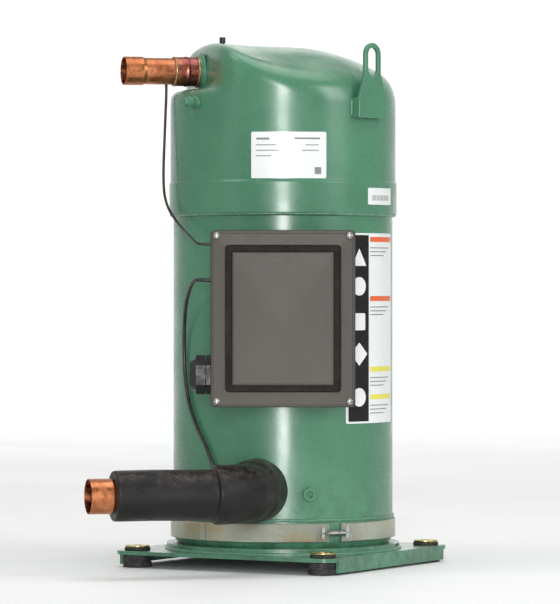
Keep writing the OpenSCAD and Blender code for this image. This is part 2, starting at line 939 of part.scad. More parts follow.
module main_frame() {
    bearing_r = 24.02;
    recess_r = 103;
    color(CAST_IRON) difference() {
        union() {
            translate([0, 0, 453]) cylinder(h = frame_top_z - 453, r = core_r);
            translate([0, 0, 430]) cylinder(h = 24, r1 = 48, r2 = 112);
            translate([0, 0, main_bearing_z]) cylinder(h = 31, r = 40);
        }
        translate([0, 0, main_bearing_z - 1]) cylinder(h = main_bearing_h + 2.5, r = bearing_r);
        translate([0, 0, pin_z - 1.5]) cylinder(h = 40, r = hub_r + orbit_r + 1.4);
        translate([0, 0, thrust_z]) cylinder(h = 20, r = recess_r);
        ring(465, 20, recess_r, 70);
        for (s = [-1, 1])
            translate([s * key_circle_r, 0, 461.5]) cube([key + 2 * orbit_r + 1.6, key + 0.4, 9], center = true);
        for (i = [0:5])
            rotate([0, 0, 60 * i]) translate([gas_port_circle_r, 0, 440]) cylinder(h = 60, r = 8);
        for (i = [0:5])
            rotate([0, 0, 30 + 60 * i]) translate([bolt_circle_r, 0, 440]) cylinder(h = 60, r = 4 + fit);
    }
}

module main_bearing() {
    color("#b08d57") ring(main_bearing_z, main_bearing_h, 24, main_journal_r + fit);
}

module lower_bearing_bracket() {
    color(CAST_IRON) difference() {
        union() {
            translate([0, 0, 88]) cylinder(h = 42, r = 27);
            for (i = [0:2])
                at_azimuth(suction_az + 60 + 120 * i) {
                    translate([20, -13, 112]) cube([112, 26, 12]);
                    intersection() {
                        translate([128, -20, 104]) cube([14, 40, 28]);
                        cylinder(h = 300, r = core_r);
                    }
                }
        }
        translate([0, 0, 94]) cylinder(h = 60, r = 17.02);
        translate([0, 0, 80]) cylinder(h = 60, r = 9);
    }
}

module lower_bearing() {
    color("#b08d57") ring(lower_bearing_z, lower_bearing_h, 17, lower_journal_r + fit);
}

module stator_core() {
    color("#77797c") difference() {
        ring(core_z, core_h, core_r, bore_r);
        for (i = [0:slot_count - 1])
            rotate([0, 0, 360 / slot_count * i]) {
                translate([bore_r + 3, -4, core_z - 1]) cube([26, 8, core_h + 2]);
                translate([bore_r - 2, -1.5, core_z - 1]) cube([10, 3, core_h + 2]);
            }
        // gas passages between core and shell
        for (i = [0:11])
            rotate([0, 0, 15 + 30 * i])
                translate([core_r + 4, 0, core_z - 1]) cylinder(h = core_h + 2, r = 12);
    }
}

module stator_windings() {
    color("#a4582c") {
        for (z = [core_z - 44, core_z + core_h + 0.1])
            ring(z, 43.9, 104, 74);
        for (i = [0:slot_count - 1])
            rotate([0, 0, 360 / slot_count * (i)])
                translate([75, -3.7, core_z - 1]) cube([14, 7.4, core_h + 2]);
    }
}

// ---- Rotating group ----

module crankshaft() {
    color(STEEL) difference() {
        union() {
            translate([0, 0, 96]) cylinder(h = 35, r = lower_journal_r);
            translate([0, 0, 130.3]) cylinder(h = 268, r = shaft_r);
            translate([0, 0, 398]) cylinder(h = pin_z - 398, r = main_journal_r);
            translate([0, orbit_r, pin_z - 1]) cylinder(h = pin_top_z - pin_z + 1, r = pin_r);
        }
        // oil gallery
        translate([0, 0, 90]) cylinder(h = 60, r = 8);
        translate([0, orbit_r, 90]) cylinder(h = 400, r = 3);
    }
}

module rotor() {
    color("#8d8f92") {
        ring(core_z, core_h, rotor_r, shaft_r + 0.02);
        for (z = [core_z - 10, core_z + core_h - 0.5])
            ring(z, 10.5, 57, 36);
    }
}

// Half-ring weights, opposite the crank pin above the rotor and beside it below
module balance_weights() {
    color("#a58a4f") {
        difference() {
            ring(core_z + core_h + 10.05, 24, 55, 22);
            translate([-80, 0, core_z + core_h]) cube([160, 80, 60]);
        }
        difference() {
            ring(core_z - 30.05, 20, 55, 22);
            translate([-80, -80, core_z - 60]) cube([160, 80, 60]);
        }
    }
}

module drive_bush() {
    color("#b08d57") translate([0, orbit_r, 0]) ring(hub_z, pin_top_z - hub_z, bush_r, pin_r + 0.02);
}

module oil_pickup() {
    color(STEEL) difference() {
        union() {
            translate([0, 0, 34]) cylinder(h = 72, r = 7.9);
            translate([0, 0, 34]) cylinder(h = 12, r = 12);
        }
        translate([0, 0, 30]) cylinder(h = 90, r = 5);
    }
}

// ---- Orbiting group ----

module orbiting_scroll() {
    slot_half_x = key / 2 + 2 * orbit_r + 0.8;
    slot_start_y = key_circle_r - key / 2 - orbit_r - 0.8;
    color(CAST_IRON) translate([0, orbit_r, 0]) difference() {
        union() {
            translate([0, 0, orbit_plate_z]) cylinder(h = orbit_plate_top - orbit_plate_z, r = orbit_plate_r);
            translate([0, 0, hub_z]) cylinder(h = orbit_plate_z - hub_z + 1, r = hub_r);
            translate([0, 0, orbit_plate_top - 1]) linear_extrude(wrap_h + 1) wrap_outline();
        }
        translate([0, 0, hub_z - 1]) cylinder(h = orbit_plate_z - hub_z + 1, r = hub_bore_r);
        // keyways for the Oldham ring, open at the rim
        for (turn = [0, 180])
            rotate([0, 0, turn]) translate([-slot_half_x, slot_start_y, orbit_plate_z - 1])
                cube([2 * slot_half_x, 60, 7.4]);
    }
}

module hub_bearing() {
    color("#b08d57") translate([0, orbit_r, 0])
        ring(hub_z, pin_top_z - hub_z, hub_bore_r - 0.02, hub_bearing_r);
}

module oldham_ring() {
    color("#b8bcc0") {
        ring(oldham_z, oldham_t, oldham_out_r, oldham_in_r);
        for (s = [-1, 1]) {
            translate([0, s * key_circle_r, oldham_z + oldham_t + 2.8]) cube([key, key, 9.6], center = true);
            translate([s * key_circle_r, 0, oldham_z - 2.3]) cube([key, key, 7], center = true);
        }
    }
}

// ---- Nodes ----

main_shell();
top_cap();
bottom_cap();
base_plate();
lifting_lug(lug_az[0]);  // lifting_lug_front
lifting_lug(lug_az[1]);  // lifting_lug_rear
discharge_fitting();
discharge_coupling();
discharge_tube();
suction_fitting();
suction_tube();
suction_insulation();
terminal_box();
box_gasket();
box_cover();
cover_screws();
cable_gland();
gland_nut();
gland_locknut();
lead_grommets();
terminal_plate();
terminal_studs();
motor_protector();
nameplate();
serial_label();
safety_label();
crankcase_heater();
heater_spring();
heater_lead();
discharge_sensor();
sensor_lead();
service_port();
service_port_cap();
top_test_plug();
oil_drain_plug();
sight_glass_body();
sight_glass_lens();
equalizer_fitting();
equalizer_cap();
mounting_grommets();
mounting_sleeves();
separator_plate();
fixed_scroll();
scroll_bolts();
valve_guard();
check_valve_disc();
main_frame();
main_bearing();
lower_bearing_bracket();
lower_bearing();
stator_core();
stator_windings();
crankshaft();
rotor();
balance_weights();
drive_bush();
oil_pickup();
orbiting_scroll();
hub_bearing();
oldham_ring();
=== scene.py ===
import json
import math

import bmesh
import bpy
import numpy as np
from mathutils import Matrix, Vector

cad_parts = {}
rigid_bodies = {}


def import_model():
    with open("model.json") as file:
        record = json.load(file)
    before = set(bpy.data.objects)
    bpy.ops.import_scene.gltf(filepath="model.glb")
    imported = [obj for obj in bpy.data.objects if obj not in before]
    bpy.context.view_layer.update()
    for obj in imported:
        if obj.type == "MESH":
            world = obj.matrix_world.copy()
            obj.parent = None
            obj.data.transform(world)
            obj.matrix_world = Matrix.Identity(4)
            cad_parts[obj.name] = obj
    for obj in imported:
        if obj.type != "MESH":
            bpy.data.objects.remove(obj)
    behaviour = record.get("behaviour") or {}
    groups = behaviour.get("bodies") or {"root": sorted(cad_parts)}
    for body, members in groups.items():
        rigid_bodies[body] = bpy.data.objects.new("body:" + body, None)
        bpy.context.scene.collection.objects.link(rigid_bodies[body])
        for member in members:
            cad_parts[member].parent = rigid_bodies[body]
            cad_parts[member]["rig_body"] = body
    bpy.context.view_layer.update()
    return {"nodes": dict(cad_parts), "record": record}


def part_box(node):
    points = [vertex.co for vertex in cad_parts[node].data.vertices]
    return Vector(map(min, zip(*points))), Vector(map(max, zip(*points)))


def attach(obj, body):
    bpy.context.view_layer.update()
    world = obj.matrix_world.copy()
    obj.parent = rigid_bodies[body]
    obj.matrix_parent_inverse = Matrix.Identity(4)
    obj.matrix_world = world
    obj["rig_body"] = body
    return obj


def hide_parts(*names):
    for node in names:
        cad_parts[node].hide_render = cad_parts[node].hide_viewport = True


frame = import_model()

NODES = frame["nodes"]
MOUNTS = {m["name"]: m for m in frame["record"]["mounts"]}
MM = 0.001


# ---------------- measures from the frame

SHELL_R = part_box("main_shell")[1].x
SHELL_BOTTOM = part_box("main_shell")[0].z
SHELL_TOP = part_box("main_shell")[1].z
WALL = 5 * MM
LIP_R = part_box("top_cap")[1].x
LIP_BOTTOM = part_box("top_cap")[0].z
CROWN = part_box("top_cap")[1].z
CAP_R = LIP_R - 1.5 * MM
LINE = Vector(MOUNTS["discharge_socket"]["axis"]).normalized()
LINE_AZ = math.degrees(math.atan2(LINE.x, -LINE.y))
DISCHARGE_Z = MOUNTS["discharge_socket"]["pos_m"][2]
SUCTION_Z = MOUNTS["suction_socket"]["pos_m"][2]
CHAMBER_FACE = 112 * MM
WALL_TOP = 585 * MM
RAY_START = 560 * MM
LEDGE = 626 * MM
DOME_R = 250 * MM
DOME_CENTRE_Z = CROWN - 4 * MM - DOME_R
HIP_Z = 666 * MM
HIP_RISE = 0.33
HIP_FALL = 0.25
HIP_RIDGE = 7 * MM
ROOF_EDGE = 12 * MM
FACET_EDGE = 19 * MM
CHAMBER_FOOT = 20 * MM
NOTCH_EDGE = 12 * MM
CAP_KNUCKLE = 23 * MM
BOX_LO, BOX_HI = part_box("box_cover")
BASE_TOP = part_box("base_plate")[1].z - 8 * MM


# ---------------- camera

EYE = Vector((0, -5.1, 0.376))
AIM = Vector((-0.004, 0, 0.347))
SEEN_HEIGHT = 0.80
SENSOR = 36

camera_data = bpy.data.cameras.new("camera")
camera = bpy.data.objects.new("camera", camera_data)
bpy.context.scene.collection.objects.link(camera)
camera.location = EYE
camera.rotation_euler = (AIM - EYE).to_track_quat("-Z", "Y").to_euler()
camera_data.sensor_width = SENSOR
camera_data.lens = SENSOR * (AIM - EYE).length / SEEN_HEIGHT
bpy.context.scene.camera = camera


# ---------------- leads' routes, as the CAD has them

HEATER_ROUTE = [
    (-86, -122, 62), (-86, -122, 90), (-88.5, -120, 125), (-97.5, -113, 155),
    (-111.5, -99, 185), (-122, -85, 215), (-127.5, -76.5, 250), (-129, -74, 285),
    (-128.5, -82, 318), (-126, -104, 345), (-121, -130, 363), (-116, -149, 373),
    (-110, -161, 376), (-101, -165, 376), (-93, -165, 376), (-80, -165, 376),
]
SENSOR_ROUTE = [
    (-155, -22, 645.8), (-154, -22, 636), (-154, -23, 618), (-155, -26, 590),
    (-156, -30, 560), (-157, -34, 530), (-157, -38, 505), (-155, -44, 485),
    (-149, -58, 468), (-139, -80, 453), (-129, -105, 441), (-120, -130, 432),
    (-113, -150, 425), (-108, -161, 422.5), (-101, -165, 422), (-93, -165, 422),
    (-80, -165, 422),
]


# ---------------- materials

def srgb(r, g, b):
    """A colour given as it looks on screen, 0 to 255, as the shader wants it."""
    def linear(c):
        c /= 255
        return c / 12.92 if c <= 0.04045 else ((c + 0.055) / 1.055) ** 2.4
    return (linear(r), linear(g), linear(b), 1)


class Finish:
    """One procedural material, with short calls for the nodes that it is made of."""

    def __init__(self, name, metallic=0.0, **sockets):
        self.material = bpy.data.materials.new(name)
        self.material.use_nodes = True
        self.tree = self.material.node_tree
        self.tree.nodes.clear()
        self.shader = self.add("ShaderNodeBsdfPrincipled")
        output = self.add("ShaderNodeOutputMaterial")
        self.tree.links.new(self.shader.outputs["BSDF"], output.inputs["Surface"])
        self.shader.inputs["Metallic"].default_value = metallic
        for socket, value in sockets.items():
            self.shader.inputs[socket.replace("_", " ")].default_value = value
        self.place = self.add("ShaderNodeTexCoord").outputs["Object"]

    def add(self, kind, **settings):
        node = self.tree.nodes.new(kind)
        for key, value in settings.items():
            setattr(node, key, value)
        return node

    def join(self, value, socket):
        if isinstance(value, bpy.types.NodeSocket):
            self.tree.links.new(value, socket)
        else:
            socket.default_value = value

    def set(self, socket, value):
        self.join(value, self.shader.inputs[socket])

    def stretched(self, x=1, y=1, z=1):
        """The place on the object, with each direction scaled."""
        mapping = self.add("ShaderNodeMapping")
        mapping.inputs["Scale"].default_value = (x, y, z)
        self.join(self.place, mapping.inputs["Vector"])
        return mapping.outputs["Vector"]

    def noise(self, scale, detail=3, roughness=0.55, distortion=0):
        node = self.add("ShaderNodeTexNoise")
        self.join(self.place, node.inputs["Vector"])
        node.inputs["Scale"].default_value = scale
        node.inputs["Detail"].default_value = detail
        node.inputs["Roughness"].default_value = roughness
        node.inputs["Distortion"].default_value = distortion
        return node.outputs["Fac"]

    def cells(self, scale):
        node = self.add("ShaderNodeTexVoronoi")
        self.join(self.place, node.inputs["Vector"])
        node.inputs["Scale"].default_value = scale
        return node.outputs["Distance"]

    def waves(self, scale, direction="Z", distortion=0, place=None):
        node = self.add("ShaderNodeTexWave", bands_direction=direction)
        self.join(place or self.place, node.inputs["Vector"])
        node.inputs["Scale"].default_value = scale
        node.inputs["Distortion"].default_value = distortion
        return node.outputs["Fac"]

    def range(self, value, low, high, to_low=0.0, to_high=1.0):
        node = self.add("ShaderNodeMapRange", interpolation_type="SMOOTHSTEP")
        for socket, number in zip(("Value", "From Min", "From Max", "To Min", "To Max"),
                                  (value, low, high, to_low, to_high)):
            self.join(number, node.inputs[socket])
        return node.outputs["Result"]

    def maths(self, operation, a, b=0.0):
        node = self.add("ShaderNodeMath", operation=operation)
        self.join(a, node.inputs[0])
        self.join(b, node.inputs[1])
        return node.outputs["Value"]

    def mix(self, share, a, b):
        node = self.add("ShaderNodeMix", data_type="RGBA")
        self.join(share, node.inputs["Factor"])
        self.join(a, node.inputs[6])
        self.join(b, node.inputs[7])
        return node.outputs[2]

    def upward(self, vector):
        split = self.add("ShaderNodeSeparateXYZ")
        self.join(vector, split.inputs["Vector"])
        return split.outputs["Z"]

    def height(self):
        return self.upward(self.place)

    def facing_up(self):
        return self.upward(self.add("ShaderNodeTexCoord").outputs["Normal"])

    def along(self, direction):
        """How far the place lies along a direction, in metres."""
        node = self.add("ShaderNodeVectorMath", operation="DOT_PRODUCT")
        self.join(self.place, node.inputs[0])
        node.inputs[1].default_value = direction
        return node.outputs["Value"]

    def bump(self, value, distance, strength=1.0):
        node = self.add("ShaderNodeBump")
        node.inputs["Distance"].default_value = distance
        node.inputs["Strength"].default_value = strength
        self.join(value, node.inputs["Height"])
        last = self.shader.inputs["Normal"].links
        if last:
            self.join(last[0].from_socket, node.inputs["Normal"])
        self.join(node.outputs["Normal"], self.shader.inputs["Normal"])

    def patches(self, noise, low, high, first, second):
        """A tone that drifts from the first screen colour to the second with a noise."""
        return self.mix(self.range(self.noise(*noise), low, high), srgb(*first), srgb(*second))

    def rough(self, noise, low, high):
        """Roughness that drifts between two values with a noise."""
        self.set("Roughness", self.range(self.noise(*noise), 0.3, 0.7, low, high))


def simple(name, tone, rough, bumps=(), metallic=0.0, **sockets):
    """A finish of one patchy tone, one patchy roughness and some bumps.

    tone is (noise settings, from, to, first screen colour, second screen colour), rough is (noise
    settings, low, high), and each bump is (kind of pattern, its settings, distance, strength).
    """
    f = Finish(name, metallic, **sockets)
    f.set("Base Color", f.patches(*tone))
    f.rough(*rough)
    for kind, settings, distance, strength in bumps:
        f.bump(getattr(f, kind)(*settings), distance, strength)
    return f.material


def green_paint():
    f = Finish("green_paint", Coat_Weight=0.28, Coat_Roughness=0.17, Specular_IOR_Level=0.45)
    cloud = f.noise(5.0, 4, 0.6)
    tone = f.mix(f.range(cloud, 0.35, 0.68), srgb(58, 108, 83), srgb(70, 122, 95))
    # Darker towards the bottom, broken up by a noise.
    low_darkening_noise = f.noise(60, 5, 0.65, 0.4)
    low = f.range(f.height(), 0.16, 0.02)
    low_darkening = f.maths("MULTIPLY", f.maths("MULTIPLY", low, 0.55), f.range(low_darkening_noise, 0.40, 0.66))
    tone = f.mix(low_darkening, tone, srgb(46, 62, 48))
    # Upward faces turn pale: settled dust, and partly painted top light.
    top_dust_and_light = f.range(f.noise(38, 4), 0.35, 0.72, 0.08, 0.30)
    dust_and_top_light = f.maths("MULTIPLY", f.range(f.facing_up(), 0.35, 0.95), top_dust_and_light)
    tone = f.mix(dust_and_top_light, tone, srgb(150, 172, 152))
    scuffs = f.range(f.noise(170, 6, 0.72, 1.5), 0.70, 0.76, 0, 0.30)
    tone = f.mix(scuffs, tone, srgb(104, 146, 122))
    f.set("Base Color", tone)
    f.set("Roughness", f.range(f.noise(24, 4, 0.6), 0.30, 0.72, 0.22, 0.36))
    f.bump(f.noise(9, 2), 0.0012, 0.22)
    f.bump(f.noise(420, 2, 0.5), 0.00010, 0.4)
    return f.material


def box_plastic():
    f = Finish("box_plastic", Specular_IOR_Level=0.22)
    cloud = f.range(f.noise(7, 2, 0.5, 0.3), 0.34, 0.70)
    tone = f.mix(cloud, srgb(57, 52, 46), srgb(62, 57, 51))
    dust_and_top_light = f.range(f.noise(240, 4, 0.7), 0.60, 0.74, 0, 0.1)
    f.set("Base Color", f.mix(dust_and_top_light, tone, srgb(128, 122, 114)))
    f.rough((160, 4), 0.37, 0.4)
    f.bump(f.cells(1500), 0.00006, 0.4)
    f.bump(f.noise(900, 3, 0.6), 0.00008, 0.35)
    return f.material


def dark_rubber():
    f = Finish("dark_rubber", Specular_IOR_Level=0.35)
    tone = f.patches((35, 4), 0.3, 0.7, (28, 27, 27), (44, 42, 42))
    dust_and_top_light = f.maths("MULTIPLY", f.range(f.noise(160, 5, 0.7), 0.42, 0.70), 0.35)
    f.set("Base Color", f.mix(dust_and_top_light, tone, srgb(104, 100, 94)))
    f.rough((110, 3), 0.52, 0.78)
    f.bump(f.noise(620, 3), 0.00018, 0.5)
    return f.material


def foam():
    f = Finish("elastomer_foam", Specular_IOR_Level=0.26, Sheen_Weight=0.08, Sheen_Roughness=0.5)
    f.shader.inputs["Sheen Tint"].default_value = srgb(150, 140, 136)
    blotch = f.range(f.noise(16, 4, 0.6, 0.4), 0.32, 0.70)
    tone = f.mix(blotch, srgb(14, 12, 12), srgb(25, 23, 23))
    # Upward faces turn pale grey: settled dust, and partly a painted highlight on the foam's top.
    top_dust_and_light = f.range(f.noise(120, 5, 0.7), 0.42, 0.72, 0, 0.22)
    dust_and_top_light = f.maths("MULTIPLY", f.range(f.facing_up(), 0.1, 0.9), top_dust_and_light)
    f.set("Base Color", f.mix(dust_and_top_light, tone, srgb(126, 118, 108)))
    f.rough((60, 4), 0.36, 0.56)
    f.bump(f.noise(26, 3, 0.5), 0.0016, 0.35)
    f.bump(f.cells(800), 0.00022, 0.35)
    f.bump(f.noise(1300, 2), 0.0001, 0.35)
    return f.material


def copper(name, joint_at, spread):
    """Drawn copper, stained by the torch near joint_at metres along the line's direction."""
    f = Finish(name, metallic=1.0)
    tube = f.patches((42, 5, 0.65, 0.8), 0.32, 0.70, (160, 96, 62), (196, 128, 88))
    spots = f.range(f.noise(190, 5, 0.7), 0.56, 0.74, 0, 0.6)
    tube = f.mix(spots, tube, srgb(122, 74, 52))
    reach = f.maths("ADD", f.along(LINE), f.maths("MULTIPLY", f.noise(60, 4), 0.02))
    heat = f.range(reach, joint_at + spread, joint_at, 0, 0.85)
    stained = f.patches((85, 5, 0.7), 0.35, 0.65, (112, 62, 44), (150, 84, 96))
    f.set("Base Color", f.mix(heat, tube, stained))
    f.rough((130, 4), 0.22, 0.46)
    f.bump(f.noise(260, 3), 0.00012, 0.4)
    return f.material


def yellow_zinc():
    f = Finish("yellow_zinc", metallic=1.0)
    film = f.noise(55, 4, 0.6, 1.0)
    tone = f.mix(f.range(film, 0.36, 0.60), srgb(206, 176, 96), srgb(184, 178, 120))
    tone = f.mix(f.range(film, 0.58, 0.74), tone, srgb(196, 146, 128))
    f.set("Base Color", tone)
    f.rough((160, 4), 0.22, 0.40)
    f.bump(f.noise(500, 3), 0.0001, 0.4)
    return f.material


def winding():
    f = Finish("varnished_winding", Coat_Weight=0.5, Coat_Roughness=0.2)
    f.set("Base Color", f.mix(f.waves(170, "Z", 3.5), srgb(112, 48, 26), srgb(180, 92, 48)))
    f.rough((140, 3), 0.3, 0.5)
    f.bump(f.waves(300, "Z", 3.5), 0.0006, 0.7)
    return f.material


def label_film():
    f = Finish("label_film", Coat_Weight=0.25, Coat_Roughness=0.15, Specular_IOR_Level=0.4)
    worn = f.range(f.noise(120, 5, 0.7), 0.50, 0.78, 0, 0.6)
    f.set("Base Color", f.mix(worn, srgb(209, 212, 212), srgb(186, 188, 183)))
    f.rough((80, 3), 0.28, 0.42)
    f.bump(f.noise(60, 2), 0.0002, 0.3)
    return f.material


def print_ink(name, colour):
    f = Finish(name, Coat_Weight=0.1, Coat_Roughness=0.2, Specular_IOR_Level=0.25)
    faded = tuple(0.8 * c + 0.05 for c in colour[:3]) + (1,)
    worn = f.range(f.noise(240, 5, 0.7), 0.52, 0.76, 0, 0.5)
    f.set("Base Color", f.mix(worn, colour, faded))
    f.rough((120, 3), 0.30, 0.45)
    return f.material


def braided_sheath():
    f = Finish("braided_sheath", metallic=0.9)
    left = f.waves(700, "DIAGONAL", 0.4, f.stretched(1, 1, 1.6))
    right = f.waves(700, "DIAGONAL", 0.4, f.stretched(1, 1, -1.6))
    weave = f.maths("MAXIMUM", left, right)
    # Lighter on the wires and darker in the gaps between them: painted shade in the weave.
    tone = f.mix(weave, srgb(112, 118, 106), srgb(208, 212, 198))
    # Gold patches in the colour are a painted reflection.
    painted_gold_glint = f.range(f.noise(26, 4), 0.44, 0.66, 0, 0.55)
    f.set("Base Color", f.mix(painted_gold_glint, tone, srgb(196, 168, 104)))
    f.rough((150, 3), 0.28, 0.5)
    f.bump(weave, 0.0005, 0.7)
    return f.material


def moulded_black():
    f = Finish("moulded_black", Specular_IOR_Level=0.3)
    tone = f.patches((40, 4), 0.34, 0.7, (26, 26, 27), (40, 40, 41))
    f.set("Base Color", f.mix(f.range(f.noise(260, 5, 0.7), 0.56, 0.74, 0, 0.3), tone, srgb(96, 94, 90)))
    f.rough((90, 4), 0.30, 0.50)
    f.bump(f.noise(850, 3), 0.0001, 0.4)
    return f.material


def clear_glass():
    f = Finish("sight_glass", Transmission_Weight=0.85, IOR=1.5)
    f.set("Base Color", f.patches((40, 3), 0.4, 0.7, (228, 238, 230), (206, 222, 208)))
    f.set("Roughness", f.range(f.noise(220, 3), 0.4, 0.7, 0.04, 0.14))
    f.bump(f.noise(300, 2), 0.00005, 0.3)
    return f.material


PAINT = green_paint()
WELD = simple(
    "weld_paint", Coat_Weight=0.3, Coat_Roughness=0.2,
    tone=((220, 4), 0.4, 0.7, (66, 112, 89), (86, 134, 109)),
    rough=((90, 3), 0.30, 0.50),
    bumps=[("noise", (700, 3), 0.0003, 0.6)],
)
PLASTIC = box_plastic()
# A darker copy of the box plastic for the cover's groove: painted shade in the recess.
GROOVE_SHADE = simple(
    "groove_painted_shade", Specular_IOR_Level=0.2,
    tone=((60, 4), 0.35, 0.7, (17, 14, 12), (27, 22, 19)),
    rough=((120, 3), 0.55, 0.7),
    bumps=[("noise", (900, 3), 0.0001, 0.4)],
)
RUBBER = dark_rubber()
FOAM = foam()
CHAMBER_COPPER = copper("discharge_copper", CHAMBER_FACE + 30 * MM, 34 * MM)
SUCTION_COPPER = copper("suction_copper", 0.05, 20 * MM)
BRAZE = simple(
    "braze_fillet", metallic=1.0,
    tone=((150, 4), 0.35, 0.68, (186, 158, 110), (116, 92, 70)),
    rough=((220, 3), 0.24, 0.5),
    bumps=[("noise", (420, 3), 0.0004, 0.5)],
)
STEEL_MARKS = [("noise", (480, 3), 0.00008, 0.4)]
TURNING_MARKS = [("waves", (900, "Z", 1.2), 0.00005, 0.4)]
STEEL_TONE = ((220, 4, 0.6), 0.34, 0.70, (168, 168, 167), (196, 196, 194))
SCREW_TONE = ((220, 4, 0.6), 0.34, 0.70, (120, 120, 118), (168, 168, 164))
STEEL_ROUGH = ((200, 4), 0.20, 0.42)
STEEL = simple(
    "bare_steel", metallic=1.0,
    tone=STEEL_TONE,
    rough=STEEL_ROUGH,
    bumps=STEEL_MARKS,
)
TURNED_STEEL = simple(
    "turned_steel", metallic=1.0,
    tone=STEEL_TONE,
    rough=STEEL_ROUGH,
    bumps=TURNING_MARKS + STEEL_MARKS,
)
ZINC = yellow_zinc()
BRASS = simple(
    "brass", metallic=1.0,
    tone=((70, 5), 0.34, 0.70, (176, 142, 74), (212, 182, 112)),
    rough=((190, 4), 0.22, 0.42),
    bumps=[("noise", (420, 3), 0.00008, 0.4)],
)
BRONZE = simple(
    "bearing_bronze", metallic=1.0,
    tone=((120, 4), 0.36, 0.68, (150, 112, 62), (184, 148, 92)),
    rough=((220, 4), 0.26, 0.44),
    bumps=[("waves", (1100, "Z", 0.8), 0.00004, 0.4)],
)
IRON = simple(
    "cast_iron", metallic=0.85,
    tone=((300, 4, 0.6), 0.30, 0.74, (98, 100, 103), (120, 122, 124)),
    rough=((320, 4), 0.42, 0.56),
    bumps=[("noise", (650, 4, 0.65), 0.0002, 0.5)],
)
LAMINATED = simple(
    "laminated_steel", metallic=0.9,
    tone=((260, 4), 0.30, 0.74, (104, 106, 109), (126, 128, 130)),
    rough=((240, 3), 0.42, 0.52),
    bumps=[("waves", (620,), 0.0002, 0.7)],
)
WINDING = winding()
SINTERED = simple(
    "sintered_alloy", metallic=0.95,
    tone=((130, 4), 0.34, 0.7, (150, 154, 158), (188, 190, 192)),
    rough=((260, 3), 0.36, 0.5),
    bumps=[("cells", (1200,), 0.00008, 0.4)],
)
FILM = label_film()
SCREW = simple(
    "screw_steel", metallic=1.0,
    tone=SCREW_TONE,
    rough=STEEL_ROUGH,
    bumps=STEEL_MARKS,
)
BRAID = braided_sheath()
BLACK = moulded_black()
JACKET = simple(
    "lead_jacket", Specular_IOR_Level=0.5,
    tone=((90, 4), 0.36, 0.7, (24, 24, 25), (48, 47, 47)),
    rough=((150, 3), 0.30, 0.48),
    bumps=[("noise", (700, 3), 0.00012, 0.4)],
)
GLASS = clear_glass()
INK_BLACK = print_ink("ink_black", srgb(14, 12, 13))
INK_GREY = print_ink("ink_grey", srgb(120, 122, 122))
INK_ORANGE = print_ink("ink_orange", srgb(206, 92, 52))
INK_YELLOW = print_ink("ink_yellow", srgb(206, 198, 84))
FLOOR = simple(
    "floor_paint", Specular_IOR_Level=0.25,
    tone=((1.2, 3), 0.3, 0.7, (232, 233, 232), (238, 239, 238)),
    rough=((6, 3), 0.55, 0.7),
)


# ---------------- building pieces

def piece(name, verts, faces, material, stands_for=(), sharp=38):
    """A mesh object in the row frame that rides on a body."""
    mesh = bpy.data.meshes.new(name)
    mesh.from_pydata([tuple(map(float, v)) for v in verts], [], [tuple(map(int, f)) for f in faces])
    mesh.validate()
    made = bmesh.new()
    made.from_mesh(mesh)
    bmesh.ops.recalc_face_normals(made, faces=made.faces)
    made.to_mesh(mesh)
    made.free()
    return settled(bpy.data.objects.new(name, mesh), material, "casing", stands_for, sharp)


def settled(obj, material, body, stands_for, sharp):
    """Links a new object, shades it, gives it its material and puts it on its body."""
    bpy.context.scene.collection.objects.link(obj)
    obj.data.materials.clear()
    obj.data.materials.append(material)
    obj.data.shade_smooth()
    if sharp:
        obj.data.set_sharp_from_angle(angle=math.radians(sharp))
    shading = obj.modifiers.new("shading", "WEIGHTED_NORMAL")
    shading.keep_sharp = True
    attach(obj, body)
    if stands_for:
        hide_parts(*stands_for)
    return obj


def around(count):
    """Angles of count points spread evenly round a circle."""
    return np.linspace(0, 2 * np.pi, count, endpoint=False)


def mm(points, shift=0.0):
    """Points given in millimetres as metres, with their first number counted from shift metres."""
    return [(shift + p[0] * MM, *(c * MM for c in p[1:])) for p in points]


def azimuth_frame(az, z=0.0):
    """Turns local (outward, sideways, up) into the row frame, from the axis at a height."""
    a = math.radians(az)
    out = np.array([math.sin(a), -math.cos(a), 0])
    side = np.array([math.cos(a), math.sin(a), 0])
    up = np.array([0, 0, 1.0])
    def place(points):
        points = np.asarray(points, float)
        return np.outer(points[:, 0], out) + np.outer(points[:, 1], side) + np.outer(points[:, 2] + z, up)
    return place


def filleted(points, radius, steps=4, closed=True):
    """The polyline with its corners rounded. radius is one number, or one for each point."""
    points = [Vector(p) for p in points]
    n = len(points)
    radii = radius if hasattr(radius, "__len__") else [radius] * n
    out = []
    for i, p in enumerate(points):
        if radii[i] <= 0 or (not closed and i in (0, n - 1)):
            out.append(tuple(p))
            continue
        a, b = points[i - 1], points[(i + 1) % n]
        to_a, to_b = a - p, b - p
        angle = to_a.angle(to_b)
        if angle > math.radians(176):
            out.append(tuple(p))
            continue
        cut = min(radii[i] / math.tan(angle / 2), 0.48 * to_a.length, 0.48 * to_b.length)
        r = cut * math.tan(angle / 2)
        start, end = p + to_a.normalized() * cut, p + to_b.normalized() * cut
        centre = p + (to_a.normalized() + to_b.normalized()).normalized() * (r / math.sin(angle / 2))
        s, e = start - centre, end - centre
        total = s.angle(e)
        for k in range(steps + 1):
            t = k / steps
            q = (s * math.sin((1 - t) * total) + e * math.sin(t * total)) / math.sin(total)
            out.append(tuple(centre + q))
    return out


def skin(count, rings, joined=False, first=0):
    """Quads between one ring of count points and the next, and back to the first ring if joined."""
    faces = []
    for i in range(rings if joined else rings - 1):
        a, b = first + i * count, first + (i + 1) % rings * count
        for k in range(count):
            m = (k + 1) % count
            faces.append((a + k, b + k, b + m, a + m))
    return faces


def capped(count, rings, first=0):
    """The same, with the first and last rings filled in."""
    last = first + (rings - 1) * count
    ends = [tuple(first + k for k in range(count)), tuple(last + k for k in reversed(range(count)))]
    return skin(count, rings, first=first) + ends


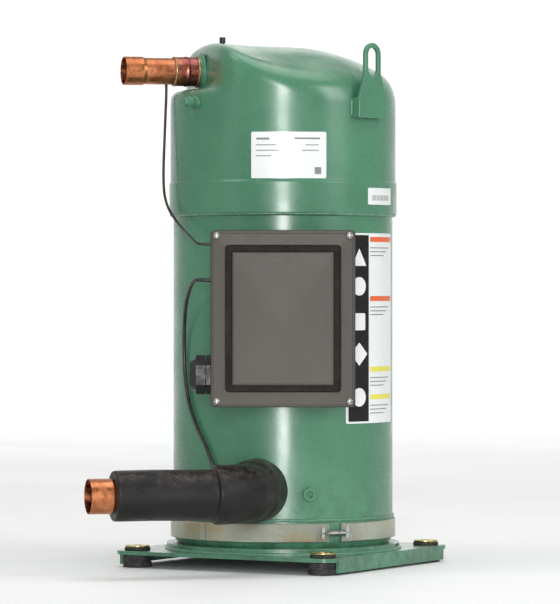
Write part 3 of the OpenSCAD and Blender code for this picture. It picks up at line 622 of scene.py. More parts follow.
def revolved(profile, segments, closed=True):
    """Vertices and faces of a profile of (radius, height) turned about the Z axis."""
    verts, rings = [], []
    for r, z in profile:
        if r < 1e-7:
            rings.append([len(verts)] * segments)
            verts.append((0, 0, z))
        else:
            rings.append(list(range(len(verts), len(verts) + segments)))
            for k in range(segments):
                a = 2 * math.pi * k / segments
                verts.append((r * math.sin(a), -r * math.cos(a), z))
    faces = []
    pairs = list(zip(rings, rings[1:]))
    if closed:
        pairs.append((rings[-1], rings[0]))
    for low, high in pairs:
        for k in range(segments):
            j = (k + 1) % segments
            face = []
            for v in (low[k], low[j], high[j], high[k]):
                if v not in face:
                    face.append(v)
            if len(face) >= 3:
                faces.append(face)
    return np.array(verts), faces


def lathe(name, profile, material, segments=160, closed=True, **settings):
    """A piece turned about the shell's axis from (radius, height) points in metres."""
    verts, faces = revolved(profile, segments, closed)
    return piece(name, verts, faces, material, **settings)


def lathe_out(name, profile, az, z, material, segments=64, closed=True, at=(0, 0), **settings):
    """A piece turned about an outward axis. The profile is (distance out, radius) in metres."""
    verts, faces = revolved([(r, x) for x, r in profile], segments, closed)
    local = np.column_stack([verts[:, 2], verts[:, 0] + at[0], verts[:, 1] + at[1]])
    return piece(name, azimuth_frame(az, z)(local), faces, material, **settings)


def frames_along(path):
    """Two directions square to the path at each of its points, carried along without twist."""
    path = np.asarray(path, float)
    heading = np.gradient(path, axis=0)
    heading /= np.linalg.norm(heading, axis=1)[:, None]
    side = np.cross(heading[0], [0.21, 0.34, 0.92])
    side /= np.linalg.norm(side)
    sides = [side]
    for h in heading[1:]:
        side = sides[-1] - h * (sides[-1] @ h)
        sides.append(side / np.linalg.norm(side))
    sides = np.array(sides)
    return heading, sides, np.cross(heading, sides)


def swept(path, radii, sides=24, loop=False):
    """Vertices and faces of a round tube along a path, closed at its ends or joined up in a loop."""
    path = np.asarray(path, float)
    n = len(path)
    radii = np.broadcast_to(radii, n)
    if loop:
        extended = np.vstack([path[-1:], path, path[:1]])
        _, side, up = frames_along(extended)
        side, up = side[1:-1], up[1:-1]
    else:
        _, side, up = frames_along(path)
    turn = around(sides)
    ring = np.cos(turn)[None, :, None] * side[:, None, :] + np.sin(turn)[None, :, None] * up[:, None, :]
    verts = (path[:, None, :] + radii[:, None, None] * ring).reshape(-1, 3)
    return verts, skin(sides, n, True) if loop else capped(sides, n)


def smooth_path(points, count):
    """A centripetal curve through the points, sampled evenly."""
    p = np.asarray(points, float)
    p = np.vstack([2 * p[0] - p[1], p, 2 * p[-1] - p[-2]])
    fine = []
    for i in range(1, len(p) - 2):
        for t in np.linspace(0, 1, 24, endpoint=False):
            a, b, c, d = p[i - 1:i + 3]
            fine.append(0.5 * (2 * b + (c - a) * t + (2 * a - 5 * b + 4 * c - d) * t ** 2
                               + (3 * b - a - 3 * c + d) * t ** 3))
    fine.append(p[-2])
    fine = np.array(fine)
    run = np.concatenate([[0], np.cumsum(np.linalg.norm(np.diff(fine, axis=0), axis=1))])
    even = np.linspace(0, run[-1], count)
    return np.column_stack([np.interp(even, run, fine[:, i]) for i in range(3)])


def bead(name, path, radius, ripple_every=3.2 * MM, loop=True, material=WELD, sides=10):
    """A weld bead with the ripples that the welder leaves, along a path in the row frame."""
    path = np.asarray(path, float)
    steps = np.linalg.norm(np.diff(path, axis=0), axis=1)
    run = np.concatenate([[0], np.cumsum(steps)])
    radii = radius * (1 + 0.10 * np.abs(np.sin(np.pi * run / ripple_every)))
    if not loop:
        ends = np.minimum(run, run[-1] - run) / (2 * radius)
        radii = radii * np.sqrt(np.clip(ends, 0.05, 1))
    verts, faces = swept(path, radii, sides, loop)
    return piece(name, verts, faces, material, sharp=0)


def circle_path(radius, z, count):
    a = around(count)
    return np.column_stack([radius * np.sin(a), -radius * np.cos(a), np.full(count, z)])


def saddle_path(az, z, radius, wall_r, count=90):
    """Where an outward pipe of a radius meets the wall of the shell."""
    a = around(count)
    y, up = radius * np.cos(a), radius * np.sin(a)
    return azimuth_frame(az, z)(np.column_stack([np.sqrt(wall_r ** 2 - y ** 2), y, up]))


def line_ring(x, radius, count):
    """A ring round the discharge line, x metres out from the axis."""
    a = around(count)
    local = np.column_stack([np.full(count, x), radius * np.cos(a), radius * np.sin(a)])
    return azimuth_frame(LINE_AZ, DISCHARGE_Z)(local)


CREASE = 32


def dressed(node, material, bevel=0.5, segments=2, name=None):
    """A copy of a CAD node with rounded edges, which stands for the node. bevel is in millimetres."""
    source = NODES[node]
    mesh = source.data.copy()
    mesh.name = name or node + "_finished"
    made = bmesh.new()
    made.from_mesh(mesh)
    bmesh.ops.remove_doubles(made, verts=made.verts, dist=2e-6)
    bmesh.ops.dissolve_limit(made, angle_limit=math.radians(0.5), verts=made.verts, edges=made.edges)
    bmesh.ops.recalc_face_normals(made, faces=made.faces)
    made.to_mesh(mesh)
    made.free()
    if "custom_normal" in mesh.attributes:
        mesh.attributes.remove(mesh.attributes["custom_normal"])
    rough = bpy.data.objects.new(node + "_rough", mesh)
    bpy.context.scene.collection.objects.link(rough)
    edges = rough.modifiers.new("edges", "BEVEL")
    edges.width = bevel * MM
    edges.segments = segments
    edges.limit_method = "ANGLE"
    edges.angle_limit = math.radians(CREASE)
    edges.harden_normals = False
    bpy.context.view_layer.update()
    evaluated = rough.evaluated_get(bpy.context.evaluated_depsgraph_get())
    result = bpy.data.meshes.new_from_object(evaluated)
    bpy.data.objects.remove(rough)
    obj = bpy.data.objects.new(name or node + "_finished", result)
    return settled(obj, material, source["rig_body"], (node,), CREASE)


def painted(node, material):
    """A CAD node that stays as it is, with a better material."""
    slots = NODES[node].data.materials
    for i in range(len(slots)):
        slots[i] = material


# ---------------- the shell

def smooth_min(a, b, k):
    h = np.clip(0.5 + 0.5 * (b - a) / k, 0, 1)
    return b * (1 - h) + a * h - k * h * (1 - h)


def smooth_max(a, b, k):
    return -smooth_min(-a, -b, k)


def cap_field(p, inset=0.0):
    """Signed distance, roughly, to the pressed cap with its raised chamber and ledge, in metres."""
    x, y, z = p[..., 0], p[..., 1], p[..., 2]
    along = x * LINE.x + y * LINE.y
    across = x * LINE.y - y * LINE.x
    wall = np.hypot(x, y) - (CAP_R - inset)
    dome = np.sqrt(x * x + y * y + (z - DOME_CENTRE_Z) ** 2) - (DOME_R - inset)
    spread = np.hypot(across, HIP_RIDGE) - HIP_RIDGE
    hip = z - (HIP_Z + HIP_RISE * along - HIP_FALL * spread)
    hip = hip / math.sqrt(1 + HIP_RISE ** 2 + HIP_FALL ** 2) + inset
    roof = smooth_max(z - (CROWN - inset), hip, ROOF_EDGE)
    facet = along - (CHAMBER_FACE - inset)
    top = smooth_min(dome, smooth_max(roof, facet, FACET_EDGE), CHAMBER_FOOT)
    notch = smooth_min(facet, z - (LEDGE - inset), NOTCH_EDGE)
    return smooth_max(smooth_max(wall, top, CAP_KNUCKLE), notch, NOTCH_EDGE)


def cap_rings(inset, elevations, segments):
    """Rings of points where rays from inside the cap meet its surface, one ring for each elevation."""
    reach, halvings = 0.30, 34
    centre = np.array([0, 0, RAY_START])
    turn = around(segments)
    rings = []
    for e in np.radians(elevations):
        ray = np.column_stack([math.cos(e) * np.sin(turn), -math.cos(e) * np.cos(turn),
                               np.full(segments, math.sin(e))])
        near, far = np.zeros(segments), np.full(segments, reach)
        for _ in range(halvings):
            middle = (near + far) / 2
            inside = cap_field(centre + middle[:, None] * ray, inset) < 0
            near, far = np.where(inside, middle, near), np.where(inside, far, middle)
        rings.append(centre + near[:, None] * ray)
    return rings


def profile_rings(profile, segments):
    turn = around(segments)
    return [np.column_stack([r * np.sin(turn), -r * np.cos(turn), np.full(segments, z)]) for r, z in profile]


def cap_side(profile, inset, steps, top, segments):
    """Rings of one side of the cap: its straight wall, then knuckle, chamber and crown."""
    low = math.degrees(math.atan2(WALL_TOP - RAY_START, profile[-1][0]))
    bounds = (low, 20, 62, top)
    elevations = [np.linspace(a, b, n)[1:] for a, b, n in zip(bounds, bounds[1:], steps)]
    return profile_rings(profile, segments) + cap_rings(inset, np.concatenate(elevations), segments)


def top_cap():
    """The cap as one closed pressing: inside from the crown to the lip, and back up outside."""
    segments = 400
    lip = filleted([(LIP_R, LIP_BOTTOM), (LIP_R, 503 * MM), (CAP_R, 506 * MM), (CAP_R, WALL_TOP)],
                   [0.8 * MM, 3 * MM, 3 * MM, 0], closed=False)
    lip = [(LIP_R - 0.8 * MM, LIP_BOTTOM), (LIP_R - 0.25 * MM, LIP_BOTTOM + 0.25 * MM),
           (LIP_R, LIP_BOTTOM + 0.8 * MM)] + lip[1:]
    seat_r, inner_r = SHELL_R + 0.1 * MM, CAP_R - WALL
    seat = [(seat_r, LIP_BOTTOM), (seat_r, SHELL_TOP), (inner_r, SHELL_TOP), (inner_r, WALL_TOP)]
    inside = cap_side(seat, WALL, (4, 42, 14), 89.0, segments)
    outside = cap_side(lip, 0, (14, 118, 40), 89.2, segments)
    rings = inside[::-1] + outside
    verts = [point for ring in rings for point in ring]
    faces = skin(segments, len(rings))
    for first, inset in ((0, WALL), ((len(rings) - 1) * segments, 0)):
        verts.append((0, 0, cap_rings(inset, [90], 1)[0][0][2]))
        faces += [(first + k, first + (k + 1) % segments, len(verts) - 1) for k in range(segments)]
    piece("cap_pressing", verts, faces, PAINT, stands_for=("top_cap",), sharp=50)


def shell_tube():
    inner = SHELL_R - WALL
    corners = [(SHELL_R, SHELL_BOTTOM), (SHELL_R, SHELL_TOP), (inner, SHELL_TOP), (inner, SHELL_BOTTOM)]
    profile = filleted(corners, 0.6 * MM, 2)
    lathe("shell_tube", profile, PAINT, 256, stands_for=("main_shell",))


def bottom_dish():
    low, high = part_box("bottom_cap")
    r, knuckle = SHELL_R, 20 * MM
    outside = [(0, low.z), (r - knuckle - 0.02, low.z)]
    outside += [(r - knuckle + knuckle * math.sin(a), low.z + knuckle * (1 - math.cos(a)))
                for a in np.linspace(0, math.pi / 2, 14)]
    outside += [(r, high.z - 0.5 * MM), (r - 0.5 * MM, high.z)]
    inner = knuckle - WALL
    inside = [(r - WALL, high.z), (r - WALL, low.z + knuckle)]
    inside += [(r - knuckle + inner * math.cos(a), low.z + knuckle - inner * math.sin(a))
               for a in np.linspace(0, math.pi / 2, 10)][1:]
    inside += [(0, low.z + WALL)]
    lathe("bottom_dish", outside + inside, PAINT, 224, closed=False,
          stands_for=("bottom_cap",))


def shell_welds():
    bead("weld_cap_lip", circle_path(SHELL_R + 2.0 * MM, LIP_BOTTOM - 1.0 * MM, 1100), 2.5 * MM)
    bead("weld_bottom_seam", circle_path(SHELL_R + 0.1 * MM, SHELL_BOTTOM + 0.2 * MM, 900), 1.9 * MM)
    bead("weld_base_seat", circle_path(SHELL_R + 9.4 * MM, BASE_TOP + 0.6 * MM, 1000), 2.2 * MM)
    # name, azimuth, then height, pipe radius and bead radius in mm, wall radius, points
    for name, az, z, pipe, size, wall_r, count in (
            ("sight_glass", 150, 92, 13.6, 1.8, SHELL_R, 90),
            ("equalizer", -100, 92, 9.6, 1.7, SHELL_R, 90),
            ("drain_plug", 13, 100, 5.5, 1.3, SHELL_R, 60),
            ("service_port", -49, 607, 5.6, 1.4, CAP_R, 60)):
        bead("weld_" + name, saddle_path(az, z * MM, pipe * MM, wall_r, count), size * MM)
    bead("weld_discharge_collar", line_ring(CHAMBER_FACE + 0.4 * MM, 22.9 * MM, 140), 1.7 * MM)


def lifting_lugs():
    foot, head, half_width, count = 588 * MM, 610 * MM, 27.6 * MM, 60
    for node, az in (("lifting_lug_front", 47), ("lifting_lug_rear", -160)):
        dressed(node, PAINT, bevel=1.7, segments=4)
        for side, word in ((-1, "left"), (1, "right")):
            run = np.linspace(foot, head, count)
            y = np.full(count, side * half_width)
            path = np.column_stack([np.sqrt(CAP_R ** 2 - y ** 2) + 0.3 * MM, y, run])
            bead(f"weld_{node}_{word}", azimuth_frame(az)(path), 2.0 * MM, loop=False)


def base():
    dressed("base_plate", PAINT, bevel=1.1, segments=3, name="base_pressing")


# ---------------- refrigerant lines

def discharge_line():
    low, face, tube = DISCHARGE_Z, CHAMBER_FACE, 17.5
    sleeve_r, ridge = tube + 1.8, 21.5
    # (out from the chamber's face, radius), in mm
    collar = [(-4, 20.5), (0, 20.5), (0, 22.5), (3, 22.5), (3, 20.5), (6, 20.5), (6, tube + 0.05),
              (-4, tube + 0.05)]
    sleeve = [(7, tube + 0.05), (7, sleeve_r), (ridge - 3, sleeve_r), (ridge, sleeve_r + 0.8),
              (ridge + 3, sleeve_r), (37, sleeve_r), (37, tube + 0.05)]
    lathe_out("discharge_collar", filleted(mm(collar, face), 0.7 * MM, 3), LINE_AZ, low, PAINT,
              96, stands_for=("discharge_fitting",))
    lathe_out("discharge_sleeve", filleted(mm(sleeve, face), 0.8 * MM, 3), LINE_AZ, low, CHAMBER_COPPER, 96,
              stands_for=("discharge_coupling",))
    pipe = tube_profile(face - 4 * MM, face + 105 * MM, 25 * MM, tube * MM)
    lathe_out("discharge_pipe", pipe, LINE_AZ, low, CHAMBER_COPPER, 96,
              stands_for=("discharge_tube",))
    for name, x, r, size in (("braze_collar", 6.5, tube + 1.7, 1.9),
                             ("braze_sleeve_end", 37.3, tube + 0.7, 1.5)):
        bead(name, line_ring(face + x * MM, r * MM, 120), size * MM, 9 * MM, material=BRAZE)


def tube_profile(start, end, bell, tube, wall=1.2 * MM, fit=0.05 * MM):
    """Half section of a tube with a belled end, as (distance, radius)."""
    bell_start = end - bell
    return filleted([
        (start, tube), (bell_start - 3 * MM, tube), (bell_start + 1 * MM, tube + wall + 0.1 * MM),
        (end, tube + wall + 0.1 * MM), (end, tube + fit), (bell_start + 2.5 * MM, tube + fit),
        (bell_start - 1 * MM, tube - wall), (start, tube - wall)],
        [0, 3 * MM, 2 * MM, 0.45 * MM, 0.45 * MM, 1 * MM, 1 * MM, 0], 3)


STRAIGHT_POINTS = 26
ARC_POINTS = 48


def suction_path():
    """The suction line's centre, and how far along it each point is: out, round the bend, and away."""
    out_az, out_start, bend_start, bend_r = -13, SHELL_R + 0.5 * MM, 197 * MM, 63 * MM
    socket = Vector(MOUNTS["suction_socket"]["pos_m"])
    a = math.radians(out_az)
    out = np.array([math.sin(a), -math.cos(a), 0])
    side = np.array([math.cos(a), math.sin(a), 0])
    bend = math.radians(out_az - LINE_AZ)
    centre = out * bend_start - side * bend_r + np.array([0, 0, SUCTION_Z])
    start = np.array([0, 0, SUCTION_Z])
    straight = [out * s + start for s in np.linspace(out_start, bend_start, STRAIGHT_POINTS)]
    arc = [centre + bend_r * (math.sin(t) * out + math.cos(t) * side)
           for t in np.linspace(0, bend, ARC_POINTS)[1:]]
    heading = math.cos(bend) * out - math.sin(bend) * side
    run = [arc[-1] + heading * s for s in np.linspace(0, 130 * MM, 60)[1:]]
    path = np.array(straight + arc + run)
    length = np.concatenate([[0], np.cumsum(np.linalg.norm(np.diff(path, axis=0), axis=1))])
    return path, length, arc[-1], heading, np.array(socket)


def suction_foam():
    path, length, *_ = suction_path()
    bend_start = length[STRAIGHT_POINTS - 1]
    bend_end = length[STRAIGHT_POINTS + ARC_POINTS - 2]
    bend_middle = (bend_start + bend_end) / 2
    # where a stretch is counted from, then (distance along, radius) in mm
    stations = (mm([(0, 38.6), (1.6, 40.2), (4, 41)])
                + mm([(-8, 41), (-3, 40.6), (1, 39.3), (3, 38.7), (8, 38.1)], bend_start)
                + mm([(0, 38)], bend_middle)
                + mm([(-6, 38), (-1.5, 37.4), (-0.2, 36.0), (0.6, 33.2), (2.4, 32.5)], bend_end)
                + mm([(-3, 32.5), (-0.8, 31.9), (0, 30.4)], length[-1]))
    even = np.unique(np.concatenate([np.linspace(0, length[-1], 190),
                                     np.linspace(bend_start - 9 * MM, bend_start + 9 * MM, 24),
                                     np.linspace(bend_end - 7 * MM, bend_end + 4 * MM, 34),
                                     np.linspace(length[-1] - 4 * MM, length[-1], 12),
                                     np.linspace(0, 5 * MM, 10)]))
    centre = np.column_stack([np.interp(even, length, path[:, i]) for i in range(3)])
    radius = np.interp(even, *zip(*stations))
    sides = 72
    _, side, up = frames_along(centre)
    turn = around(sides)
    bend_inside = np.array([0.99, -0.14, 0])
    rng = np.random.default_rng(7)
    phases = rng.uniform(0, 2 * np.pi, 8)
    def ring(i, r):
        out = np.cos(turn)[:, None] * side[i] + np.sin(turn)[:, None] * up[i]
        return centre[i] + np.reshape(r, (-1, 1)) * out
    rings = []
    for i, s in enumerate(even):
        ripple = np.zeros(sides)
        in_bend = np.exp(-((s - bend_middle) / (26 * MM)) ** 2)
        for n, p in enumerate(phases):
            ripple += 0.16 * MM * np.sin((n % 4 + 1) * turn + p + s / (17 * MM + n * 4 * MM))
        inner_turn = np.arctan2(up[i] @ bend_inside, side[i] @ bend_inside)
        inner_side = np.clip(-np.cos(turn - inner_turn), 0, 1)
        ripple += 0.55 * MM * in_bend * inner_side * np.sin(2 * np.pi * s / (11 * MM))
        rings.append(ring(i, radius[i] - 0.35 * MM + ripple))
    bore = 21.3 * MM
    back = np.linspace(0, len(even) - 1, 60).astype(int)[::-1]
    rings += [ring(i, bore) for i in back]
    foam_run = piece("suction_foam", np.concatenate(rings), skin(sides, len(rings), True), FOAM,
                     stands_for=("suction_insulation",), sharp=55)


def suction_pipe():
    *_, corner, heading, socket = suction_path()
    run = np.linalg.norm(socket + heading * 14 * MM - corner)
    visible = tube_profile(100 * MM, run, 30 * MM, 21 * MM)
    verts, faces = revolved([(r, x) for x, r in visible], 96)
    out = np.array([heading[0], heading[1], 0])
    side = np.array([-heading[1], heading[0], 0])
    up = np.array([0, 0, 1.0])
    at = corner + np.outer(verts[:, 2], out) + np.outer(verts[:, 0], side) + np.outer(verts[:, 1], up)
    piece("suction_pipe", at, faces, SUCTION_COPPER, stands_for=("suction_tube",))


# ---------------- terminal box

def rounded_loop(w, h, r, per_corner=10):
    """Points of a rounded rectangle, centred, starting at the right of the top edge."""
    r = max(r, 1e-5)
    loop = []
    for cx, cz, start in ((w / 2 - r, h / 2 - r, 0), (-w / 2 + r, h / 2 - r, 90),
                          (-w / 2 + r, -h / 2 + r, 180), (w / 2 - r, -h / 2 + r, 270)):
        for k in range(per_corner + 1):
            a = math.radians(start + 90 * k / per_corner)
            loop.append((cx + r * math.cos(a), cz + r * math.sin(a)))
    return np.array(loop)


def box_cover():
    """The moulded cover: rolled rim, flat border, deep groove and a shallow hipped panel."""
    cx, cz = (BOX_HI.x + BOX_LO.x) / 2, (BOX_HI.z + BOX_LO.z) / 2
    back, face, panel = BOX_HI.y, BOX_HI.y - 4 * MM, BOX_LO.y
    rim = (BOX_HI.x - BOX_LO.x, BOX_HI.z - BOX_LO.z)
    groove = (146 * MM, 186 * MM)
    middle = (130 * MM, 170 * MM)
    hip = 2.9 * MM
    spec = [
        # outline, how much larger than it, corner radius and height off y, all three in mm, and y
        (rim, -3, 4.2, 0, back), (rim, 0, 5, 0, back), (rim, 0, 5, 1.2, face), (rim, -0.7, 4.8, 0.5, face),
        (rim, -2.4, 4.2, 0, face), (rim, -7, 3.8, 0, face), (rim, -8.2, 3.6, 0.9, face),
        (rim, -9.8, 3.3, 1.0, face),
        (groove, 4, 5.2, 0.25, face), (groove, 1.6, 4.8, 0, face), (groove, 0.4, 4.2, 0.3, face),
        (groove, -0.6, 3.7, 1.0, face), (groove, -1.2, 3.4, 3.1, face),
        (middle, 1.4, 2.7, 3.1, face), (middle, 0.6, 2.3, 1.2, face), (middle, 0.2, 2.1, -0.4, face),
        (middle, -0.6, 1.9, 0.5, panel + hip), (middle, -2.2, 1.6, 0, panel + hip),
    ]
    loops = []
    def add(w, h, r, y):
        loop = rounded_loop(w, h, r)
        loops.append(np.column_stack([cx + loop[:, 0], np.full(len(loop), y), cz + loop[:, 1]]))
    for (w, h), larger, r, off, y in spec:
        add(w + larger * MM, h + larger * MM, r * MM, y + off * MM)
    panel_w, panel_h = middle[0] - 2.2 * MM, middle[1] - 2.2 * MM
    for share in (0.97, 0.92, 0.85, 0.77, 0.68, 0.58, 0.48, 0.38, 0.28, 0.18, 0.09, 0.02):
        corner = min(1.6 * MM + 34 * MM * (1 - share), 0.42 * middle[0] * share)
        add(panel_w * share, panel_h * share, corner, panel + hip * share)
    count = len(loops[0])
    cover = piece("cover_moulding", np.concatenate(loops), capped(count, len(loops)), PLASTIC,
                  stands_for=("box_cover",), sharp=34)
    # The groove's rows take the darker finish, painted shade in the recess.
    cover.data.materials.append(GROOVE_SHADE)
    first_row, last_row = 10, 14
    for polygon in cover.data.polygons[first_row * count:(last_row + 1) * count]:
        polygon.material_index = 1


def cover_screws():
    """Pan heads with a cross recess, each on its shank."""
    low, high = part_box("cover_screws")
    head_r, head_h, shank_r = 4.6 * MM, 3 * MM, 2 * MM
    face, tip = low.y + head_h, high.y
    sides, steps = 64, 26
    turn = around(sides)
    rows = [(shank_r * 0.8, tip), (shank_r, tip - 0.4 * MM), (shank_r, face), (head_r - 0.3 * MM, face),
            (head_r, face - 0.3 * MM), (head_r, face - 0.9 * MM)]
    rows += [(head_r * (1 - k / steps), None) for k in range(1, steps)]
    verts, faces = [], []
    for cx in (low.x + head_r, high.x - head_r):
        for cz in (low.z + head_r, high.z - head_r):
            first = len(verts)
            for r, y in rows:
                for a in turn:
                    x, z = r * math.cos(a), r * math.sin(a)
                    depth = y if y is not None else face - pan_height(x, z, r / head_r, head_h)
                    verts.append((cx + x, depth, cz + z))
            faces += capped(sides, len(rows), first)
    piece("pan_screws", verts, faces, SCREW, stands_for=("cover_screws",), sharp=60)


def pan_height(x, z, share, head_h):
    """Height of a pan head's top above its seat, less its cross recess."""
    dome = 0.9 * MM + (head_h - 0.9 * MM) * (1 - share ** 2.6) ** 0.6
    half_slot, reach, depth = 0.6 * MM, 2.7 * MM, 1.5 * MM
    outside = min(max(abs(x) - half_slot, abs(z) - reach), max(abs(z) - half_slot, abs(x) - reach))
    edge = min(max(0.5 - outside / (0.3 * MM), 0), 1)
    return dome - depth * edge * edge * (3 - 2 * edge)


def box_body():
    dressed("terminal_box", PLASTIC, bevel=1.3, segments=3, name="box_moulding")
    dressed("box_gasket", RUBBER, bevel=0.3)
    cover_screws()
    dressed("cable_gland", BLACK, bevel=0.7, segments=3)
    dressed("gland_nut", BLACK, bevel=0.8, segments=3)
    dressed("lead_grommets", RUBBER, bevel=0.6, segments=3)
    side = -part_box("gland_nut")[0].x
    gland = MOUNTS["cable_entry"]["pos_m"]
    profile = filleted(mm([(-6, 10.5), (-0.5, 10.5), (-0.5, 13.9), (-6, 13.9)], side), 0.8 * MM, 3)
    verts, faces = revolved([(r, x) for x, r in profile], 64)
    at = np.column_stack([-verts[:, 2], gland[1] + verts[:, 0], gland[2] + verts[:, 1]])
    piece("gland_seal", at, faces, RUBBER)


# ---------------- labels

def on_shell(points, az, z, turning_r, radius):
    """Flat (sideways, up) points bent round the shell, with sideways measured at turning_r."""
    a = math.radians(az) + points[:, 0] / turning_r
    return np.column_stack([radius * np.sin(a), -radius * np.cos(a), z + points[:, 1]])


def wrapped(name, outline, r, az, z, thickness, material, **settings):
    """A flat outline in (sideways, up) metres wrapped on the shell at radius r, centred at az and z."""
    outline = np.asarray(outline, float)
    centre = outline.mean(axis=0)
    rings = [centre + (outline - centre) * share for share in (1.0, 0.75, 0.5, 0.25, 0.04)]
    outer_r = r + thickness
    back = [on_shell(ring, az, z, r, r) for ring in reversed(rings)]
    front = [on_shell(ring, az, z, outer_r, outer_r) for ring in rings]
    faces = capped(len(outline), 2 * len(rings))
    return piece(name, np.concatenate(back + front), faces, material, sharp=50, **settings)


def bar(w, h, x=0.0, z=0.0, r=0.6, fine=3):
    """A rounded bar's outline with enough points to bend round the shell. It is given in mm."""
    loop = rounded_loop(w, h, min(r, w / 2.2, h / 2.2), 4)
    dense = []
    for i, p in enumerate(loop):
        q = loop[(i + 1) % len(loop)]
        steps = max(1, int(np.linalg.norm(q - p) / fine))
        for k in range(steps):
            dense.append(p + (q - p) * k / steps)
    return (np.array(dense) + [x, z]) * MM


def disc(r, count=36):
    a = around(count)
    return np.column_stack([r * np.cos(a), r * np.sin(a)])


def centre_z(node):
    low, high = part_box(node)
    return (low.z + high.z) / 2


def labels():
    film, ink = 0.4 * MM, 0.12 * MM
    plate_r, plate_at = CAP_R + 0.05 * MM, (3, centre_z("nameplate"))
    wrapped("nameplate_film", bar(98.6, 59.8, r=2), plate_r, *plate_at, film, FILM, stands_for=("nameplate",))
    # width, height, sideways, up
    plate_rules = [(17, 2.6, -34, 21), (34, 2.2, 24, 21.4), (26, 1.2, -30, 13), (18, 1.2, 30, 13),
                   (30, 1.2, -28, 6), (22, 1.2, 28, 6), (20, 1.2, -33, -1), (9, 9, 38, -20)]
    for i, rule in enumerate(plate_rules):
        wrapped(f"nameplate_rule_{i + 1}", bar(*rule, 0.3), plate_r + film, *plate_at, ink, INK_GREY)

    serial_r, serial_at = LIP_R + 0.05 * MM, (58, centre_z("serial_label"))
    wrapped("serial_film", bar(57.5, 21.8, r=1.5), serial_r, *serial_at, film, FILM,
            stands_for=("serial_label",))
    for i in range(14):
        stroke = bar(0.7 + 0.6 * (i * 5 % 3), 7, -20 + 3 * i, -2, 0.2)
        wrapped(f"serial_bar_{i + 1}", stroke, serial_r + film, *serial_at, ink, INK_GREY)

    low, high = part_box("safety_label")
    height, middle = (high.z - low.z) / MM, centre_z("safety_label")
    safety_r, safety_at = SHELL_R + 0.05 * MM, (55.5, middle)
    ink_r = safety_r + film
    black_x = -32.2
    wrapped("safety_film", bar(108.6, height, r=2.5), safety_r, *safety_at, film, FILM,
            stands_for=("safety_label",))
    wrapped("safety_black_band", bar(36.6, height - 5, black_x, 0, 1), ink_r, *safety_at, ink, INK_BLACK)
    signs(ink_r + ink, safety_at, black_x * MM)
    heights = ((429, INK_ORANGE), (352, INK_ORANGE), (260, INK_YELLOW), (224, INK_YELLOW))
    for i, (z, material) in enumerate(heights):
        up = z - middle / MM
        wrapped(f"safety_bar_{i + 1}", bar(62, 6.5, 20, up, 0.5), ink_r, *safety_at, ink, material)
        for k in range(3):
            rule = bar(52 - 9 * k, 1.3, 15 - 4.5 * k, up - 11 - 5 * k, 0.3)
            wrapped(f"safety_rule_{i + 1}_{k + 1}", rule, ink_r, *safety_at, ink, INK_GREY)


def signs(r, at, x):
    """Plain white shapes on the black band: triangle, disc, square, lozenge and disc."""
    az, middle = at
    shapes = {
        "triangle": (disc(15 * MM, 3)[:, ::-1], 402),
        "high_disc": (disc(12 * MM), 368),
        "square": (rounded_loop(22 * MM, 22 * MM, 2 * MM), 322),
        "lozenge": (disc(15 * MM, 4), 280),
        "low_disc": (disc(12 * MM), 224),
    }
    for name, (outline, z) in shapes.items():
        flat_sign(f"safety_sign_{name}", outline + [x, z * MM - middle], r, az, middle, 0.1 * MM)


def flat_sign(name, outline, r, az, z, thickness):
    """A filled outline of any shape, wrapped on the shell."""
    curve = bmesh.new()
    verts = [curve.verts.new((p[0], p[1], 0)) for p in outline]
    curve.faces.new(verts)
    bmesh.ops.triangulate(curve, faces=curve.faces)
    for _ in range(2):
        long = [e for e in curve.edges if e.calc_length() > 6 * MM]
        if long:
            bmesh.ops.subdivide_edges(curve, edges=long, cuts=1)
            bmesh.ops.triangulate(curve, faces=[f for f in curve.faces if len(f.verts) > 3])
    extruded = bmesh.ops.extrude_face_region(curve, geom=curve.faces[:])
    for v in [g for g in extruded["geom"] if isinstance(g, bmesh.types.BMVert)]:
        v.co.z = thickness
    points = np.array([v.co for v in curve.verts])
    curve.verts.index_update()
    faces = [[v.index for v in f.verts] for f in curve.faces]
    curve.free()
    at = on_shell(points, az, z, r, r + points[:, 2])
    return piece(name, at, faces, FILM, sharp=50)


# ---------------- heater, sensor and leads

def heater_belt():
    """The belt: a braided band with rounded edges, open where the spring draws it up."""
    low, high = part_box("crankcase_heater")
    gap_az, gap = 27, 12 * MM
    start = math.radians(gap_az) + gap / 2 / SHELL_R + math.radians(1)
    end = math.radians(gap_az + 360) - gap / 2 / SHELL_R - math.radians(1)
    inner, outer = SHELL_R + 0.3 * MM, SHELL_R + 3.7 * MM
    section = filleted([(inner, low.z), (outer, low.z), (outer, high.z), (inner, high.z)], 1.4 * MM, 4)
    steps = 300
    verts = []
    for i in range(steps + 1):
        a = start + (end - start) * i / steps
        for r, z in section:
            verts.append((r * math.sin(a), -r * math.cos(a), z))
    piece("heater_band", verts, capped(len(section), steps + 1), BRAID,
          stands_for=("crankcase_heater",), sharp=50)


